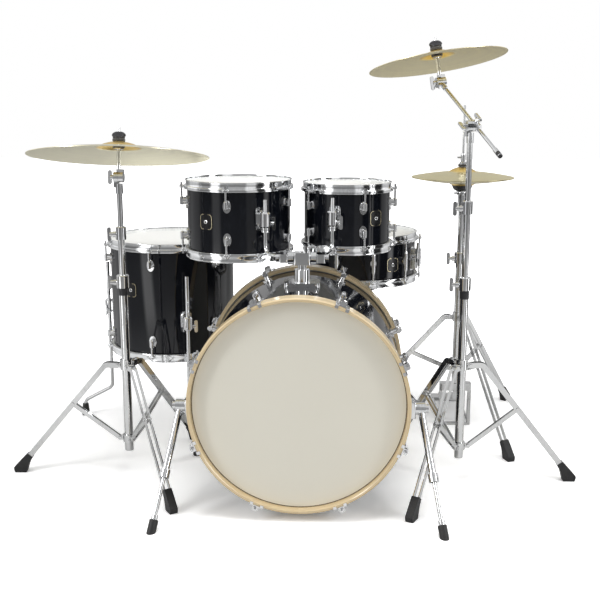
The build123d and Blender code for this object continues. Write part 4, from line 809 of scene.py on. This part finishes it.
panel_ring, ring_in, ring_out = effect("panel_ring", (("Vector", "NodeSocketVector", None),),
                                       (("Level", "NodeSocketFloat"),))
parts = node(panel_ring, "ShaderNodeSeparateXYZ", Vector=ring_in.outputs["Vector"])
ahead = node(panel_ring, "ShaderNodeMath", operation="MULTIPLY")
panel_ring.links.new(parts.outputs["Y"], ahead.inputs[0])
ahead.inputs[1].default_value = -1.0
turn = node(panel_ring, "ShaderNodeMath", operation="ARCTAN2")
panel_ring.links.new(parts.outputs["X"], turn.inputs[0])
panel_ring.links.new(ahead.outputs["Value"], turn.inputs[1])
round_ring = node(panel_ring, "ShaderNodeMapRange", Value=turn.outputs["Value"], From_Min=-pi,
                  From_Max=pi)
panels = node(panel_ring, "ShaderNodeValToRGB", Fac=round_ring.outputs["Result"])
stops = panels.color_ramp.elements
stops.remove(stops[1])
stops[0].color = (0.5, 0.5, 0.5, 1)
for bearing, level in ((-130, 0.55), (-120, 1.0), (-92, 1.0), (-84, 0.30), (-58, 0.30),
                       (-52, 1.9), (-40, 1.9), (-34, 0.38), (18, 0.34), (23, 0.8), (40, 0.8),
                       (45, 0.05), (60, 0.05), (65, 3.0), (71, 3.0), (76, 0.03), (98, 0.03),
                       (106, 1.0), (134, 1.0), (144, 0.5)):
    stop = stops.new(bearing / 360 + 0.5)
    stop.color = (level, level, level, 1)
panel_ring.links.new(panels.outputs["Color"], ring_out.inputs["Level"])

floor, tree, shader = finish("studio_floor", (0.8, 0.8, 0.8), 0.0, 0.6)
away = node(tree, "ShaderNodeVectorMath", operation="LENGTH")
tree.links.new(object_place(tree), away.inputs[0])
fade = node(tree, "ShaderNodeMapRange", Value=away.outputs["Value"], From_Min=1.1,
            From_Max=2.4, interpolation_type="SMOOTHSTEP")
ring = add_effect(tree, panel_ring, Vector=object_place(tree))
mirrored = node(tree, "ShaderNodeMix")
tree.links.new(fade.outputs["Result"], mirrored.inputs["Factor"])
mirrored.inputs["A"].default_value = 0.7
tree.links.new(ring.outputs["Level"], mirrored.inputs["B"])
gloss = node(tree, "ShaderNodeMix")
gloss.inputs["A"].default_value = 0.62
tree.links.new(mirrored.outputs["Result"], gloss.inputs["B"])
white = node(tree, "ShaderNodeMapRange", Value=away.outputs["Value"], From_Min=1.0,
             From_Max=3.0, To_Min=1.38, To_Max=4.0)
gain, seen = direct_light(tree, white.outputs["Result"], gloss.outputs["Result"])
tree.links.new(seen.outputs["Is Glossy Ray"], gloss.inputs["Factor"])
paint = node(tree, "ShaderNodeCombineColor", Red=gain, Green=gain, Blue=gain)
matt = node(tree, "ShaderNodeBsdfDiffuse", Color=paint.outputs["Color"])
lift, seen = direct_light(tree, 0.10, 0.0)
glow = node(tree, "ShaderNodeEmission", Strength=lift)
lit = node(tree, "ShaderNodeAddShader")
tree.links.new(matt.outputs["BSDF"], lit.inputs[0])
tree.links.new(glow.outputs["Emission"], lit.inputs[1])
tree.links.new(lit.outputs["Shader"], tree.nodes["Material Output"].inputs["Surface"])
tree.nodes.remove(shader)
build = bmesh.new()
bmesh.ops.create_grid(build, x_segments=1, y_segments=1, size=14.0)
ground = as_piece("studio_floor", build)
ground.data.materials.append(floor)

world = bpy.data.worlds.new("studio")
bpy.context.scene.world = world
world.use_nodes = True
tree = world.node_tree
backdrop = tree.nodes["Background"]
backdrop.inputs["Color"].default_value = (1, 1, 1, 1)
way = tree.nodes.new("ShaderNodeTexCoord").outputs["Generated"]
parts = node(tree, "ShaderNodeSeparateXYZ", Vector=way)
ring = add_effect(tree, panel_ring, Vector=way)
overhead = node(tree, "ShaderNodeMapRange", Value=parts.outputs["Z"], From_Min=0.55,
                From_Max=0.85, interpolation_type="SMOOTHSTEP")
mirrored = node(tree, "ShaderNodeMix")
tree.links.new(overhead.outputs["Result"], mirrored.inputs["Factor"])
tree.links.new(ring.outputs["Level"], mirrored.inputs["A"])
mirrored.inputs["B"].default_value = 0.72
level, seen = direct_light(tree, 1.0, 0.46)
ambient = node(tree, "ShaderNodeMix")
tree.links.new(seen.outputs["Is Glossy Ray"], ambient.inputs["Factor"])
tree.links.new(level, ambient.inputs["A"])
tree.links.new(mirrored.outputs["Result"], ambient.inputs["B"])
tree.links.new(ambient.outputs["Result"], backdrop.inputs["Strength"])


def soft_box(name, place, target, size, power):
    lamp = bpy.data.lights.new(name, "AREA")
    lamp.shape = "RECTANGLE"
    lamp.size, lamp.size_y = size
    lamp.energy = power
    box = bpy.data.objects.new(name, lamp)
    box.location = place
    box.rotation_euler = (Vector(target) - Vector(place)).to_track_quat("-Z", "Y").to_euler()
    bpy.context.scene.collection.objects.link(box)
    return box


soft_box("left_box", (-3.2, -2.2, 2.3), (0, 0, 0.6), (0.5, 2.2), 46)
soft_box("right_box", (3.4, -1.8, 2.3), (0, 0, 0.6), (0.5, 2.2), 36)
overhead_box = soft_box("top_box", (0.0, -0.6, 3.4), (0, 0, 0.3), (2.4, 2.0), 66)
overhead_box.visible_glossy = False

bpy.context.scene.view_settings.view_transform = "Standard"
